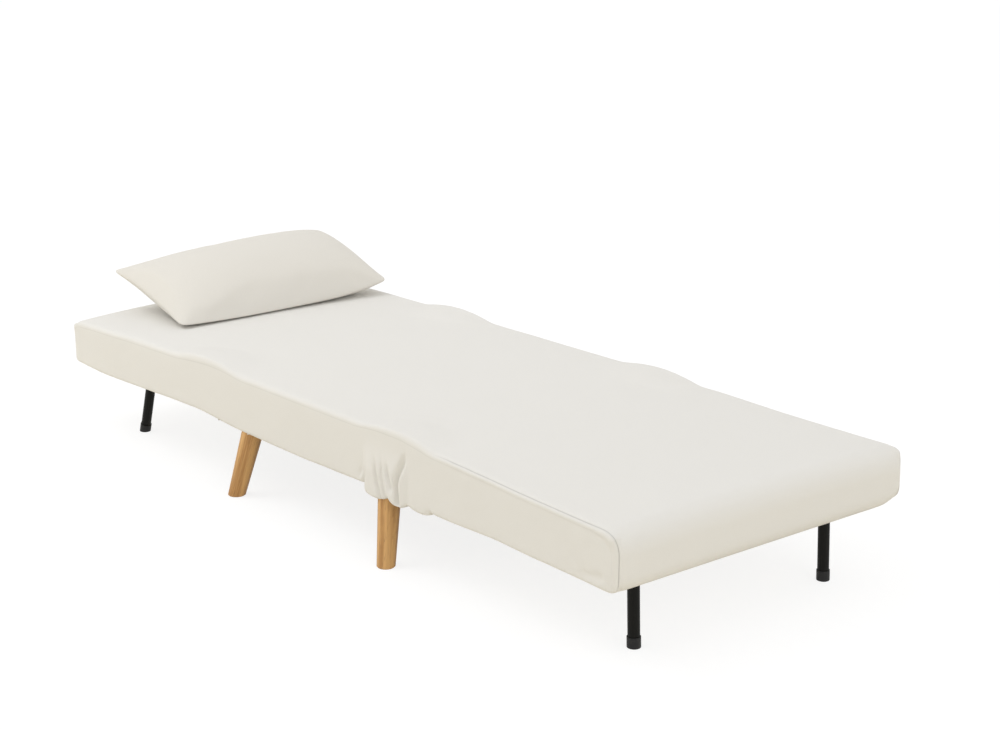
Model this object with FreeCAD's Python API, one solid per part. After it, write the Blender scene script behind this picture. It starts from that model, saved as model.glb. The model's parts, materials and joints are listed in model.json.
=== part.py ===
import FreeCAD, Part
import math
import os

from FreeCAD import Vector

os.makedirs("parts", exist_ok=True)

# Convertible chair bed, opened flat. Millimetres. Origin on the floor under the middle of the bed,
# +X to the foot end, +Y to the left side of a person lying on it, +Z up.

# Driving dimensions of the bed
bed_length = 1876.0
bed_width = 720.0
recline_hinge_x = -360.0
fold_hinge_x = 310.0
pivot_height = 266.5
seam_height_seat = 262.0
seam_height_ends = 257.0
top_crown = 4.0
underside_height = 146.0
seat_hem_drop = 5.0
side_draw_in = 17.0
section_gap = 0.6

# Upholstery
cover_thickness = 2.5
cover_to_foam = 0.3
end_top_radius = 42.0
end_bottom_radius = 35.0
plan_corner_radius = 28.0
seam_edge_radius = 12.0
hem_edge_radius = 8.0
hem_width = 14.0
under_panel_thickness = 2.5
under_pad_thickness = 8.8
hinge_pocket_inset = 5.0
gather_folds = 3
gather_pitch = 22.0
gather_height = 96.0
gather_drop = 13.0
gather_top_radius = 2.0
gather_radius = 6.5
eye_slot_length = 30.0
eye_slot_clearance = 1.0

# Steel frame
rail_size = 25.0
rail_wall = 1.5
rail_bottom = 158.0
frame_side_inset = 18.0
frame_end_inset = 26.0
frame_hinge_inset = 6.0
back_frame_setback = 2.0
plug_flange = 3.0
plug_insert = 12.0
plug_clearance = 0.1

# Slats
slat_width = 53.0
slat_thickness = 7.0
slat_camber = 1.5
slat_spacing = 118.0
shoe_wall = 1.5
shoe_length = 40.0
shoe_clearance = 0.15

# Wooden legs
leg_foot_diameter = 36.0
leg_top_diameter = 46.0
leg_foot_overhang = 22.0
leg_rear_inset = 113.0
leg_front_inset = 28.0
leg_splay_x = 10.0
leg_splay_y = 12.0
leg_plate_thickness = 3.0
leg_plate_length = 90.0
leg_plate_width = 60.0
hanger_bolt_diameter = 8.0
hanger_bolt_in_wood = 45.0
hanger_bolt_in_rail = 12.0
hanger_nut_diameter = 12.8
hanger_nut_height = 6.4
leg_foot_chamfer = 2.0
leg_room_clearance = 1.5

# Folding tube legs
tube_diameter = 22.0
tube_wall = 1.5
foot_leg_side_inset = 84.0
foot_leg_end_inset = 86.0
foot_leg_tilt = 2.0
head_leg_side_inset = 53.0
head_leg_end_inset = 174.0
head_leg_tilt = 18.0
cap_wall = 1.5
cap_floor = 3.0
cap_length = 20.0
cap_clearance = 0.05
cap_edge_radius = 1.2
pivot_bolt_diameter = 8.0
pivot_bolt_head = 13.0
pivot_plug_length = 30.0
running_clearance = 0.05
crossbar_gap = 0.4
leg_slot_clearance = 5.0

# Hinge plates
plate_thickness = 4.0
plate_gap = 0.3
eye_radius = 6.5
pin_diameter = 6.0
pin_head_diameter = 12.0
pin_head_thickness = 3.0
plate_bolt_diameter = 6.0
plate_bolt_head = 10.0
plate_bolt_head_thickness = 3.3
plate_nut_thickness = 5.0
plate_pad_length = 76.0
plate_bolt_pitch = 34.0
plate_bolt_setback = 34.0
bolt_clearance = 0.1

# Ratchet of the recline hinge
tooth_count = 6
tooth_pitch = 14.0
tooth_face_lean = 4.5
tooth_tip_land = 1.5
tooth_tip_radius = 44.0
tooth_root_radius = 39.0
tooth_lobe_neck_radius = 10.4
tooth_lobe_neck_angle = 235.0
tooth_lobe_setback = 8.0
last_notch_angle = 270.0
pawl_pivot_radius = 58.0
pawl_pivot_angle = 250.0
pawl_hub_radius = 6.5
pawl_back_height = 5.85
pawl_shoulder_height = 2.9
pawl_taper_share = 0.62
pawl_nose_height = 4.4
pawl_belly_height = 6.2
pawl_pin_diameter = 6.0
pawl_pin_head_diameter = 9.6
pawl_side_clearance = 0.2
pawl_rest_swing = 17.0
spring_thickness = 0.8
spring_foot_rise = 2.4
spring_length = 20.8
spring_tip_reach = 2.6

# Pillow
pillow_length = 575.0
pillow_depth = 286.0
pillow_thickness = 128.0
pillow_seam_thickness = 7.0
pillow_tip_share = 0.4
pillow_tilt = 15.5
pillow_roll = 2.2
pillow_end_inset = 164.0
pillow_centre_y = 46.0
pillow_skin = 1.5
pillow_waist = 6.0
pillow_swell_power = 2.6
pillow_swell_ease = 0.55
pillow_rest_gap = 0.3
pillow_sink = 16.0

# Places worked out from the driving dimensions
head_end_x = -bed_length / 2
foot_end_x = bed_length / 2
end_half_width = bed_width / 2
frame_half_width = end_half_width - side_draw_in - frame_side_inset
rail_top = rail_bottom + rail_size
rail_middle = rail_bottom + rail_size / 2
shoe_height = slat_thickness + 2 * shoe_wall
foam_bottom = rail_top + shoe_height + cover_to_foam
frame_head_x = head_end_x + frame_end_inset
frame_foot_x = foot_end_x - frame_end_inset
inner_rail_y = frame_half_width - rail_size
fixed_plate_y = frame_half_width
moving_plate_y = fixed_plate_y + plate_thickness + plate_gap
crown_height = seam_height_seat + top_crown
pocket_length = frame_hinge_inset + plate_pad_length + hinge_pocket_inset
leg_foot_y = frame_half_width + leg_foot_overhang
leg_rear_foot_x = recline_hinge_x + leg_rear_inset
leg_front_foot_x = fold_hinge_x - leg_front_inset
foot_leg_y = frame_half_width - foot_leg_side_inset
foot_leg_floor_x = foot_end_x - foot_leg_end_inset
head_leg_y = frame_half_width - head_leg_side_inset
head_leg_floor_x = head_end_x + head_leg_end_inset
foot_leg_pivot_x = foot_leg_floor_x - rail_middle * math.tan(math.radians(foot_leg_tilt))
head_leg_pivot_x = head_leg_floor_x + rail_middle * math.tan(math.radians(head_leg_tilt))


def box(x0, x1, y0, y1, z0, z1):
    return Part.makeBox(x1 - x0, y1 - y0, z1 - z0, Vector(x0, y0, z0))


def rod(diameter, start, end):
    along = end - start
    return Part.makeCylinder(diameter / 2, along.Length, start, along)


def fused(shapes):
    return shapes[0].multiFuse(shapes[1:]).removeSplitter()


def mirrored(shape):
    return shape.mirror(Vector(0, 0, 0), Vector(0, 1, 0))


def both_sides(shapes):
    return list(shapes) + [mirrored(shape) for shape in shapes]


def save(node, shapes):
    shape = shapes[0] if len(shapes) == 1 else Part.makeCompound(shapes)
    if not shape.isValid():
        print("not valid:", node)
    shape.exportStep("parts/" + node + ".step")


def plate_from_outline(points, y0, y1):
    """A flat plate in the XZ plane from straight and arc edges, between two distances from the
    middle plane. A point is (x, z), or ("arc", middle, end) for a round stretch."""
    edges = []
    here = points[0]
    for point in points[1:] + [points[0]]:
        if point[0] == "arc":
            ends = [Vector(x, y0, z) for x, z in (here, point[1], point[2])]
            edges.append(Part.Arc(*ends).toShape())
            here = point[2]
        elif math.dist(here, point) > 1e-6:
            edges.append(Part.makeLine(Vector(here[0], y0, here[1]), Vector(point[0], y0, point[1])))
            here = point
    return Part.Face(Part.Wire(edges)).extrude(Vector(0, y1 - y0, 0))


def polar(centre_x, radius, angle):
    turn = math.radians(angle)
    return (centre_x + radius * math.cos(turn), pivot_height + radius * math.sin(turn))


# Upholstered form: its half width, seam height and underside along the bed

def half_width_at(x):
    return end_half_width - side_draw_in * (1 - (2 * x / bed_length) ** 2)


def seam_height_at(x):
    return seam_height_seat - (seam_height_seat - seam_height_ends) * (2 * x / bed_length) ** 2


def section_outline(x, inset, bottom):
    """A slice across the bed: flat underside, upright sides, rounded seam edges and a crowned top."""
    side = half_width_at(x) - inset
    top = seam_height_at(x) - inset
    edge = max(seam_edge_radius - inset, 1.0)
    hem = max(hem_edge_radius - inset, 1.0)
    bend = 1 - math.sqrt(0.5)

    def at(y, z):
        return Vector(x, y, z)

    return Part.Wire([
        Part.makeLine(at(-side + hem, bottom), at(side - hem, bottom)),
        Part.Arc(at(side - hem, bottom), at(side - hem * bend, bottom + hem * bend),
                 at(side, bottom + hem)).toShape(),
        Part.makeLine(at(side, bottom + hem), at(side, top - edge)),
        Part.Arc(at(side, top - edge), at(side - edge * bend, top - edge * bend),
                 at(side - edge, top)).toShape(),
        Part.Arc(at(side - edge, top), at(0, top + top_crown), at(-side + edge, top)).toShape(),
        Part.Arc(at(-side + edge, top), at(-side + edge * bend, top - edge * bend),
                 at(-side, top - edge)).toShape(),
        Part.makeLine(at(-side, top - edge), at(-side, bottom + hem)),
        Part.Arc(at(-side, bottom + hem), at(-side + hem * bend, bottom + hem * bend),
                 at(-side + hem, bottom)).toShape(),
    ])


def rounded_end_cut(end_x, outward, inset, bottom):
    """What is kept at a free end: a bullnose in side view with rounded corners in plan."""
    reach = bed_length
    top = seam_height_ends + top_crown - inset
    tip = end_x - outward * inset
    top_radius = end_top_radius - inset
    bottom_radius = end_bottom_radius - inset
    bend = 1 - math.sqrt(0.5)
    side_view = plate_from_outline([
        (tip - outward * reach, bottom),
        (tip - outward * bottom_radius, bottom),
        ("arc", (tip - outward * bottom_radius * bend, bottom + bottom_radius * bend),
         (tip, bottom + bottom_radius)),
        (tip, top - top_radius),
        ("arc", (tip - outward * top_radius * bend, top - top_radius * bend),
         (tip - outward * top_radius, top)),
        (tip - outward * top_radius * 2, top + bed_width),
        (tip - outward * reach, top + bed_width),
    ], -bed_width, bed_width)
    side = end_half_width - inset
    corner = plan_corner_radius - inset
    edges = []
    plan = [
        (tip - outward * reach, -bed_width),
        (tip - outward * corner * 2, -bed_width),
        (tip - outward * corner, -side),
        ("arc", (tip - outward * corner * bend, -side + corner * bend), (tip, -side + corner)),
        (tip, side - corner),
        ("arc", (tip - outward * corner * bend, side - corner * bend), (tip - outward * corner, side)),
        (tip - outward * corner * 2, bed_width),
        (tip - outward * reach, bed_width),
    ]
    here = plan[0]
    for point in plan[1:] + [plan[0]]:
        if point[0] == "arc":
            edges.append(Part.Arc(*[Vector(x, y, 0) for x, y in (here, point[1], point[2])]).toShape())
            here = point[2]
        else:
            edges.append(Part.makeLine(Vector(here[0], here[1], 0), Vector(point[0], point[1], 0)))
            here = point
    plan_view = Part.Face(Part.Wire(edges)).extrude(Vector(0, 0, 2 * pivot_height))
    return side_view.common(plan_view)


def upholstered_form(x0, x1, inset, bottom, free_end=0, end_bottom=None):
    """The padded form between two places along the bed, drawn in by inset from the outside."""
    stations = [x0, (x0 + x1) / 2, x1]
    form = Part.makeLoft([section_outline(x, inset, bottom) for x in stations], True, False)
    if free_end:
        end_x = foot_end_x if free_end > 0 else head_end_x
        form = form.common(rounded_end_cut(end_x, free_end, inset, end_bottom or bottom))
    return form


def hinge_pockets(hinge_x, reach, first_y, z0):
    """Side notches that leave room for a hinge's plates."""
    x0, x1 = sorted((hinge_x, hinge_x + reach))
    return both_sides([box(x0, x1, first_y, bed_width, z0, 2 * pivot_height)])


def eye_slots(hinge_x):
    """Slots in the top of a cover where the hinge eyes come level with it."""
    y0 = fixed_plate_y - 2 * hinge_pocket_inset
    y1 = moving_plate_y + plate_thickness + pin_head_thickness + eye_slot_clearance
    return both_sides([box(hinge_x - eye_slot_length / 2, hinge_x + eye_slot_length / 2, y0, y1,
                           pivot_height - 2 * eye_radius, 2 * pivot_height)])


def make_foam(x0, x1, free_end, pockets):
    inset = cover_thickness + cover_to_foam
    foam = upholstered_form(x0, x1, inset, underside_height + inset, free_end)
    foam = foam.cut(box(-bed_length, bed_length, -bed_width, bed_width, 0, foam_bottom))
    return foam.cut(Part.makeCompound(pockets))


def gather_fold(x, bottom, size):
    """One hanging fold of the gathered side, narrow at its top and full at its low, closed end."""
    top_z = underside_height + gather_height
    heights = [top_z, (top_z + bottom) / 2, bottom - gather_drop * size + gather_radius / 2,
               bottom - gather_drop * size]
    radii = [gather_top_radius, gather_radius * 0.8 * size, gather_radius * size, gather_radius * 0.6 * size]
    y = half_width_at(x)
    slices = [Part.Wire(Part.makeCircle(radius, Vector(x, y - radius / 2, z), Vector(0, 0, 1)))
              for z, radius in zip(heights, radii)]
    return Part.makeLoft(slices, True, True)


def gathered_side(side, bottom):
    """The folds on one side of the fold hinge, largest next to it."""
    folds = []
    for i in range(gather_folds):
        x = fold_hinge_x + side * gather_pitch * (i + 0.5)
        size = 1.0 - 0.15 * i
        folds.append(gather_fold(x, bottom, size))
    return both_sides(folds)


def make_cover(x0, x1, bottom, free_end, opening_x0, opening_x1, cuts, folds):
    """A thin sewn shell, open at the hinges and inside its hem."""
    outer = upholstered_form(x0, x1, 0.0, bottom, free_end)
    if folds:
        outer = outer.multiFuse(folds)
    spare = section_gap
    inner_x0 = x0 if free_end < 0 else x0 - spare
    inner_x1 = x1 if free_end > 0 else x1 + spare
    inner = upholstered_form(inner_x0, inner_x1, cover_thickness, bottom + cover_thickness, free_end)
    hem_y = half_width_at(0) - hem_width
    opening = box(opening_x0, opening_x1, -hem_y, hem_y, bottom - 1, bottom + 2 * cover_thickness)
    cover = outer.cut(inner).cut(opening)
    for cut in cuts:
        cover = cover.cut(cut)
    return cover


def leg_slots(pivot_x, floor_x, fold_sign, leg_y, z0, z1):
    """Two slots in an underside through which the folding legs swing out."""
    leg_length = math.hypot(rail_middle, floor_x - pivot_x)
    clear = tube_diameter / 2 + cap_wall + leg_slot_clearance
    outer_x = pivot_x + (floor_x - pivot_x) * 0.2 - fold_sign * clear
    inner_x = pivot_x + fold_sign * (leg_length + leg_slot_clearance)
    lo, hi = sorted((outer_x, inner_x))
    return both_sides([box(lo, hi, leg_y - clear, leg_y + clear, z0, z1)])


# Steel frames

def square_rail(start, end):
    """A hollow square tube along X or Y."""
    half = rail_size / 2
    bore = half - rail_wall
    if abs(start.x - end.x) > abs(start.y - end.y):
        outer = box(start.x, end.x, start.y - half, start.y + half, rail_bottom, rail_top)
        inner = box(start.x - 1, end.x + 1, start.y - bore, start.y + bore,
                    rail_bottom + rail_wall, rail_top - rail_wall)
    else:
        outer = box(start.x - half, start.x + half, start.y, end.y, rail_bottom, rail_top)
        inner = box(start.x - bore, start.x + bore, start.y - 1, end.y + 1,
                    rail_bottom + rail_wall, rail_top - rail_wall)
    return outer.cut(inner)


def side_rails(x0, x1, holes):
    y = frame_half_width - rail_size / 2
    rail = square_rail(Vector(x0, y, 0), Vector(x1, y, 0))
    for hole in holes:
        rail = rail.cut(hole)
    return both_sides([rail])


def cross_rails(middles):
    return [square_rail(Vector(x, -inner_rail_y, 0), Vector(x, inner_rail_y, 0)) for x in middles]


def rail_plugs(x0, x1):
    """Plastic plugs in the open ends of the side rails."""
    y = frame_half_width - rail_size / 2
    half = rail_size / 2
    bore = half - rail_wall - plug_clearance
    plugs = []
    for end, outward in ((x0, -1), (x1, 1)):
        flange_x = sorted((end, end + outward * plug_flange))
        insert_x = sorted((end, end - outward * plug_insert))
        flange = box(*flange_x, y - half, y + half, rail_bottom, rail_top)
        insert = box(*insert_x, y - bore, y + bore, rail_middle - bore, rail_middle + bore)
        plugs.append(fused([flange, insert]))
    return both_sides(plugs)


def slat_places(x0, x1):
    """Even places for slats between the ends of a frame."""
    room = x1 - x0 - rail_size * 2
    count = int(room // slat_spacing) + 1
    middle = (x0 + x1) / 2
    return [middle + (i - (count - 1) / 2) * slat_spacing for i in range(count)]


def slat(x):
    """A thin plywood slat, bowed up a little along its length."""
    end_y = frame_half_width - shoe_wall
    low = rail_top + shoe_wall
    high = low + slat_thickness

    def at(y, z):
        return Vector(x - slat_width / 2, y, z)

    straight = shoe_length
    edges = [
        Part.makeLine(at(-end_y, low), at(-end_y + straight, low)),
        Part.Arc(at(-end_y + straight, low), at(0, low + slat_camber), at(end_y - straight, low)).toShape(),
        Part.makeLine(at(end_y - straight, low), at(end_y, low)),
        Part.makeLine(at(end_y, low), at(end_y, high)),
        Part.makeLine(at(end_y, high), at(end_y - straight, high)),
        Part.Arc(at(end_y - straight, high), at(0, high + slat_camber),
                 at(-end_y + straight, high)).toShape(),
        Part.makeLine(at(-end_y + straight, high), at(-end_y, high)),
        Part.makeLine(at(-end_y, high), at(-end_y, low)),
    ]
    return Part.Face(Part.Wire(edges)).extrude(Vector(slat_width, 0, 0))


def slat_shoes(x):
    """The plastic shoes that hold a slat's ends on the side rails."""
    half = slat_width / 2 + shoe_wall + shoe_clearance
    shoe = box(x - half, x + half, frame_half_width - shoe_length, frame_half_width,
               rail_top, rail_top + shoe_height)
    seat = box(x - half + shoe_wall, x + half - shoe_wall, frame_half_width - shoe_length - 1,
               frame_half_width - shoe_wall, rail_top + shoe_wall, rail_top + shoe_wall + slat_thickness)
    return both_sides([shoe.cut(seat)])


# Bolts and pins: along Y, on the left side, mirrored by both_sides

def bolt_with_nut(x, head_y, nut_y):
    """A plate bolt with its nut run up inside the rail's inner wall."""
    shank = rod(plate_bolt_diameter, Vector(x, nut_y - plate_nut_thickness, rail_middle),
                Vector(x, head_y, rail_middle))
    head = rod(plate_bolt_head, Vector(x, head_y, rail_middle),
               Vector(x, head_y + plate_bolt_head_thickness, rail_middle))
    corner = plate_bolt_head / 2 / math.cos(math.radians(30))
    corners = [Vector(x + corner * math.cos(math.radians(60 * i)), nut_y - plate_nut_thickness,
                      rail_middle + corner * math.sin(math.radians(60 * i))) for i in range(6)]
    nut = Part.Face(Part.makePolygon(corners + corners[:1])).extrude(Vector(0, plate_nut_thickness, 0))
    return fused([shank, head, nut])


def bolt_hole(x, diameter, clearance):
    return rod(diameter + 2 * clearance, Vector(x, inner_rail_y - bed_width / 4, rail_middle),
               Vector(x, bed_width, rail_middle))


def plate_bolt_places(hinge_x, side):
    """The two bolt places of a hinge plate, on the foot (+1) or head (-1) side of its hinge."""
    first = hinge_x + side * (frame_hinge_inset + plate_bolt_setback)
    return [first, first + side * plate_bolt_pitch]


def pivot_pin(hinge_x):
    """A riveted pin through both eyes, with a head on each side."""
    inner_y = fixed_plate_y - plate_gap
    outer_y = moving_plate_y + plate_thickness + plate_gap
    pin = rod(pin_diameter, Vector(hinge_x, inner_y, pivot_height), Vector(hinge_x, outer_y, pivot_height))
    heads = [
        rod(pin_head_diameter, Vector(hinge_x, inner_y - pin_head_thickness, pivot_height),
            Vector(hinge_x, inner_y, pivot_height)),
        rod(pin_head_diameter, Vector(hinge_x, outer_y, pivot_height),
            Vector(hinge_x, outer_y + pin_head_thickness, pivot_height)),
    ]
    return fused([pin] + heads)


def eye_hole(hinge_x):
    return rod(pin_diameter + 2 * running_clearance, Vector(hinge_x, 0, pivot_height),
               Vector(hinge_x, bed_width, pivot_height))


def plain_hinge_plate(hinge_x, side, y0):
    """A hinge plate from its pad on the rail up to the eye, on one side of the hinge."""
    near = hinge_x + side * frame_hinge_inset
    far = near + side * plate_pad_length
    bend = eye_radius * math.sqrt(0.5)
    outline = [
        (near, rail_bottom),
        (near, rail_top),
        (hinge_x - side * eye_radius, pivot_height),
        ("arc", (hinge_x, pivot_height + eye_radius), (hinge_x + side * eye_radius, pivot_height)),
        (hinge_x + side * (eye_radius + bend), pivot_height - 4 * eye_radius),
        (far, rail_top),
        (far, rail_bottom),
    ]
    plate = plate_from_outline(outline, y0, y0 + plate_thickness)
    if y0 > fixed_plate_y:
        lo, hi = sorted((near, far))
        plate = fused([plate, box(lo, hi, fixed_plate_y, y0, rail_bottom, rail_top)])
    plate = plate.cut(eye_hole(hinge_x))
    for x in plate_bolt_places(hinge_x, side):
        plate = plate.cut(bolt_hole(x, plate_bolt_diameter, bolt_clearance))
    return plate


def toothed_plate():
    """The seat's recline plate: a lobe of ratchet teeth below its pivot, one notch for each place
    of the backrest, and an arm down to the rail."""
    hinge = recline_hinge_x
    near = hinge + frame_hinge_inset
    far = near + plate_pad_length
    first_notch = last_notch_angle - (tooth_count - 1) * tooth_pitch
    start = first_notch - tooth_pitch + tooth_face_lean + tooth_tip_land
    end = last_notch_angle + tooth_face_lean + 2 * tooth_tip_land
    outline = [
        polar(hinge, eye_radius, 180.0),
        polar(hinge, tooth_lobe_neck_radius, tooth_lobe_neck_angle),
        polar(hinge, tooth_tip_radius, start),
    ]
    for i in range(tooth_count):
        notch = first_notch + i * tooth_pitch
        face = notch + tooth_face_lean
        outline.append(polar(hinge, tooth_root_radius, notch))
        outline.append(polar(hinge, tooth_tip_radius, face))
        land_end = face + tooth_tip_land if i < tooth_count - 1 else end
        outline.append(("arc", polar(hinge, tooth_tip_radius, (face + land_end) / 2),
                        polar(hinge, tooth_tip_radius, land_end)))
    outline += [
        (near + frame_hinge_inset, rail_top),
        (near + frame_hinge_inset, rail_bottom),
        (far, rail_bottom),
        (far, rail_top),
        (hinge + tooth_root_radius - tooth_lobe_setback, pivot_height - tooth_root_radius),
        polar(hinge, eye_radius, 0.0),
        ("arc", polar(hinge, eye_radius, 90.0), polar(hinge, eye_radius, 180.0)),
    ]
    plate = plate_from_outline(outline, fixed_plate_y, fixed_plate_y + plate_thickness)
    plate = plate.cut(eye_hole(hinge))
    for x in plate_bolt_places(hinge, 1):
        plate = plate.cut(bolt_hole(x, plate_bolt_diameter, bolt_clearance))
    return plate


pawl_x, pawl_z = polar(recline_hinge_x, pawl_pivot_radius, pawl_pivot_angle)
pawl_y0 = fixed_plate_y + pawl_side_clearance
pawl_y1 = fixed_plate_y + plate_thickness - pawl_side_clearance


def pawl_frame():
    """The pawl's own directions in its engaged place: along it to the notch, and towards the teeth."""
    notch_x, notch_z = polar(recline_hinge_x, tooth_root_radius, last_notch_angle)
    reach = math.dist((pawl_x, pawl_z), (notch_x, notch_z))
    along = ((notch_x - pawl_x) / reach, (notch_z - pawl_z) / reach)
    return reach, along


def pawl_point(u, v):
    _, along = pawl_frame()
    return (pawl_x + u * along[0] - v * along[1], pawl_z + u * along[1] + v * along[0])


def make_pawl():
    """A pawl whose nose fits a notch, drawn swung clear of the teeth as it is in the flat bed."""
    reach, _ = pawl_frame()
    hub = pawl_hub_radius
    gap = 2 * pawl_side_clearance
    nose = plate_from_outline([
        pawl_point(0.0, pawl_back_height),
        pawl_point(hub, pawl_shoulder_height),
        pawl_point(reach * pawl_taper_share, -gap),
        pawl_point(reach - gap, -gap / 2),
        pawl_point(reach - 1.5 * gap, -pawl_nose_height),
        pawl_point(hub, -pawl_belly_height),
        pawl_point(0.0, -pawl_back_height),
    ], pawl_y0, pawl_y1)
    disc = rod(2 * hub, Vector(pawl_x, pawl_y0, pawl_z), Vector(pawl_x, pawl_y1, pawl_z))
    pawl = fused([nose, disc])
    pawl = pawl.cut(rod(pawl_pin_diameter + 2 * running_clearance,
                        Vector(pawl_x, pawl_y0 - 1, pawl_z), Vector(pawl_x, pawl_y1 + 1, pawl_z)))
    pawl.rotate(Vector(pawl_x, 0, pawl_z), Vector(0, 1, 0), pawl_rest_swing)
    return pawl


def pawl_pin():
    outer_y = moving_plate_y + plate_thickness
    pin = rod(pawl_pin_diameter, Vector(pawl_x, pawl_y0 - 2 * pawl_side_clearance, pawl_z),
              Vector(pawl_x, outer_y, pawl_z))
    head = rod(pawl_pin_head_diameter, Vector(pawl_x, outer_y, pawl_z),
               Vector(pawl_x, outer_y + pin_head_thickness / 2, pawl_z))
    return fused([pin, head])


def back_plate():
    """The backrest's recline plate, which carries the pawl."""
    hinge = recline_hinge_x
    near = hinge - frame_hinge_inset - back_frame_setback
    far = near - plate_pad_length
    y0 = moving_plate_y
    outline = [
        polar(hinge, eye_radius, 0.0),
        ("arc", polar(hinge, eye_radius, 90.0), polar(hinge, eye_radius, 180.0)),
        (far, rail_top + eye_radius),
        (far, rail_bottom),
        (near, rail_bottom),
        (near, rail_top),
    ]
    plate = plate_from_outline(outline, y0, y0 + plate_thickness)
    plate = fused([plate, box(far, near, fixed_plate_y, y0, rail_bottom, rail_top)])
    plate = plate.cut(eye_hole(hinge))
    plate = plate.cut(rod(pawl_pin_diameter, Vector(pawl_x, y0 - 1, pawl_z),
                          Vector(pawl_x, y0 + plate_thickness + 1, pawl_z)))
    for x in plate_bolt_places(hinge, -1):
        plate = plate.cut(bolt_hole(x, plate_bolt_diameter, bolt_clearance))
    return plate


def pawl_spring():
    """A leaf spring fixed to the back plate that bears on the back of the pawl."""
    hub = pawl_hub_radius
    foot_z = rail_top + spring_foot_rise
    x0 = pawl_x - spring_length
    tip = (pawl_x - spring_tip_reach, pawl_z - hub - spring_thickness)
    outline = [
        (x0, foot_z),
        (x0 + hub, foot_z),
        (x0 + hub, foot_z + hub),
        (tip[0], tip[1] - spring_thickness),
        (tip[0], tip[1]),
        (x0 + hub - spring_thickness, foot_z + hub + spring_thickness),
        (x0, foot_z + hub + spring_thickness),
    ]
    return plate_from_outline(outline, pawl_y0, moving_plate_y)


# Wooden legs

def leg_axis(foot_x, outward):
    foot = Vector(foot_x, leg_foot_y, 0)
    up = Vector(-outward * math.tan(math.radians(leg_splay_x)), -math.tan(math.radians(leg_splay_y)), 1)
    return foot, up


def wood_leg(foot_x, outward):
    """A tapered round leg, splayed both ways and cut level at the floor and under its plate."""
    foot, up = leg_axis(foot_x, outward)
    top_z = rail_bottom - leg_plate_thickness
    start = foot - up * (leg_foot_diameter / 2)
    end = foot + up * (top_z + leg_top_diameter / 2)
    slope = (leg_top_diameter - leg_foot_diameter) / 2 / top_z
    low_radius = leg_foot_diameter / 2 - slope * leg_foot_diameter / 2
    high_radius = leg_top_diameter / 2 + slope * leg_top_diameter / 2
    cone = Part.makeCone(low_radius, high_radius, (end - start).Length, start, end - start)
    leg = cone.common(box(foot_x - bed_width, foot_x + bed_width, 0, bed_width, 0, top_z))
    rim = [edge for edge in leg.Edges if edge.BoundBox.ZMax < 0.01]
    leg = leg.makeChamfer(leg_foot_chamfer, rim)
    hole_start = foot + up * (top_z - hanger_bolt_in_wood)
    hole_end = foot + up * (top_z + leg_top_diameter)
    return leg.cut(rod(hanger_bolt_diameter + 2 * bolt_clearance, hole_start, hole_end))


def hanger_bolt(foot_x, outward):
    foot, up = leg_axis(foot_x, outward)
    top_z = rail_bottom - leg_plate_thickness
    start = foot + up * (top_z - hanger_bolt_in_wood + bolt_clearance)
    end = foot + up * (rail_bottom + rail_wall + hanger_bolt_in_rail)
    bolt = rod(hanger_bolt_diameter, start, end)
    nut_z = rail_bottom + rail_wall
    nut_at = foot + up * nut_z
    nut = rod(hanger_nut_diameter, Vector(nut_at.x, nut_at.y, nut_z),
              Vector(nut_at.x, nut_at.y, nut_z + hanger_nut_height))
    return fused([bolt, nut])


def hanger_hole(foot_x, outward):
    foot, up = leg_axis(foot_x, outward)
    return rod(hanger_bolt_diameter + 4 * bolt_clearance, foot + up * (rail_bottom - 3 * leg_plate_thickness),
               foot + up * (rail_bottom + 3 * rail_wall))


def leg_plate(foot_x, outward):
    foot, up = leg_axis(foot_x, outward)
    top = foot + up * rail_bottom
    plate = box(top.x - leg_plate_length / 2, top.x + leg_plate_length / 2,
                top.y - leg_plate_width / 2, frame_half_width,
                rail_bottom - leg_plate_thickness, rail_bottom)
    corners = [edge for edge in plate.Edges if edge.Length < leg_plate_thickness + 0.01]
    return plate.makeFillet(leg_plate_thickness * 2, corners).cut(hanger_hole(foot_x, outward))


def leg_room(foot_x, outward):
    """Room for a leg through the seat's hem."""
    foot, up = leg_axis(foot_x, outward)
    start = foot + up * (underside_height - 6 * seat_hem_drop)
    end = foot + up * rail_bottom
    return rod(leg_top_diameter + 2 * leg_room_clearance, start, end)


# Folding tube legs

def tube_leg_parts(pivot_x, floor_x, leg_y):
    """A crossbar with two welded legs, its plugged and drilled ends, and the leg end caps."""
    down = Vector(floor_x - pivot_x, 0, -rail_middle)
    down.normalize()
    length = math.hypot(rail_middle, floor_x - pivot_x)
    half_span = inner_rail_y - crossbar_gap
    bore = tube_diameter - 2 * tube_wall
    bar = rod(tube_diameter, Vector(pivot_x, -half_span, rail_middle), Vector(pivot_x, half_span, rail_middle))
    bar_bore = rod(bore, Vector(pivot_x, -half_span + pivot_plug_length, rail_middle),
                   Vector(pivot_x, half_span - pivot_plug_length, rail_middle))
    outer = [bar]
    inner = [bar_bore]
    caps = []
    for side in (-1, 1):
        top = Vector(pivot_x, side * leg_y, rail_middle)
        end = top + down * (length - cap_floor)
        outer.append(rod(tube_diameter, top, end))
        if leg_y < half_span - pivot_plug_length:
            inner.append(rod(bore, top, end + down))
        else:
            inner.append(rod(bore, top + down * tube_diameter, end + down))
        caps.append(tube_cap(top, down, length))
    frame = fused(outer)
    for hollow in inner:
        frame = frame.cut(hollow)
    for side in (-1, 1):
        start = Vector(pivot_x, side * (half_span - pivot_plug_length + tube_wall), rail_middle)
        frame = frame.cut(rod(pivot_bolt_diameter + 2 * running_clearance, start,
                              Vector(pivot_x, side * (half_span + 1), rail_middle)))
    return frame, caps


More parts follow.
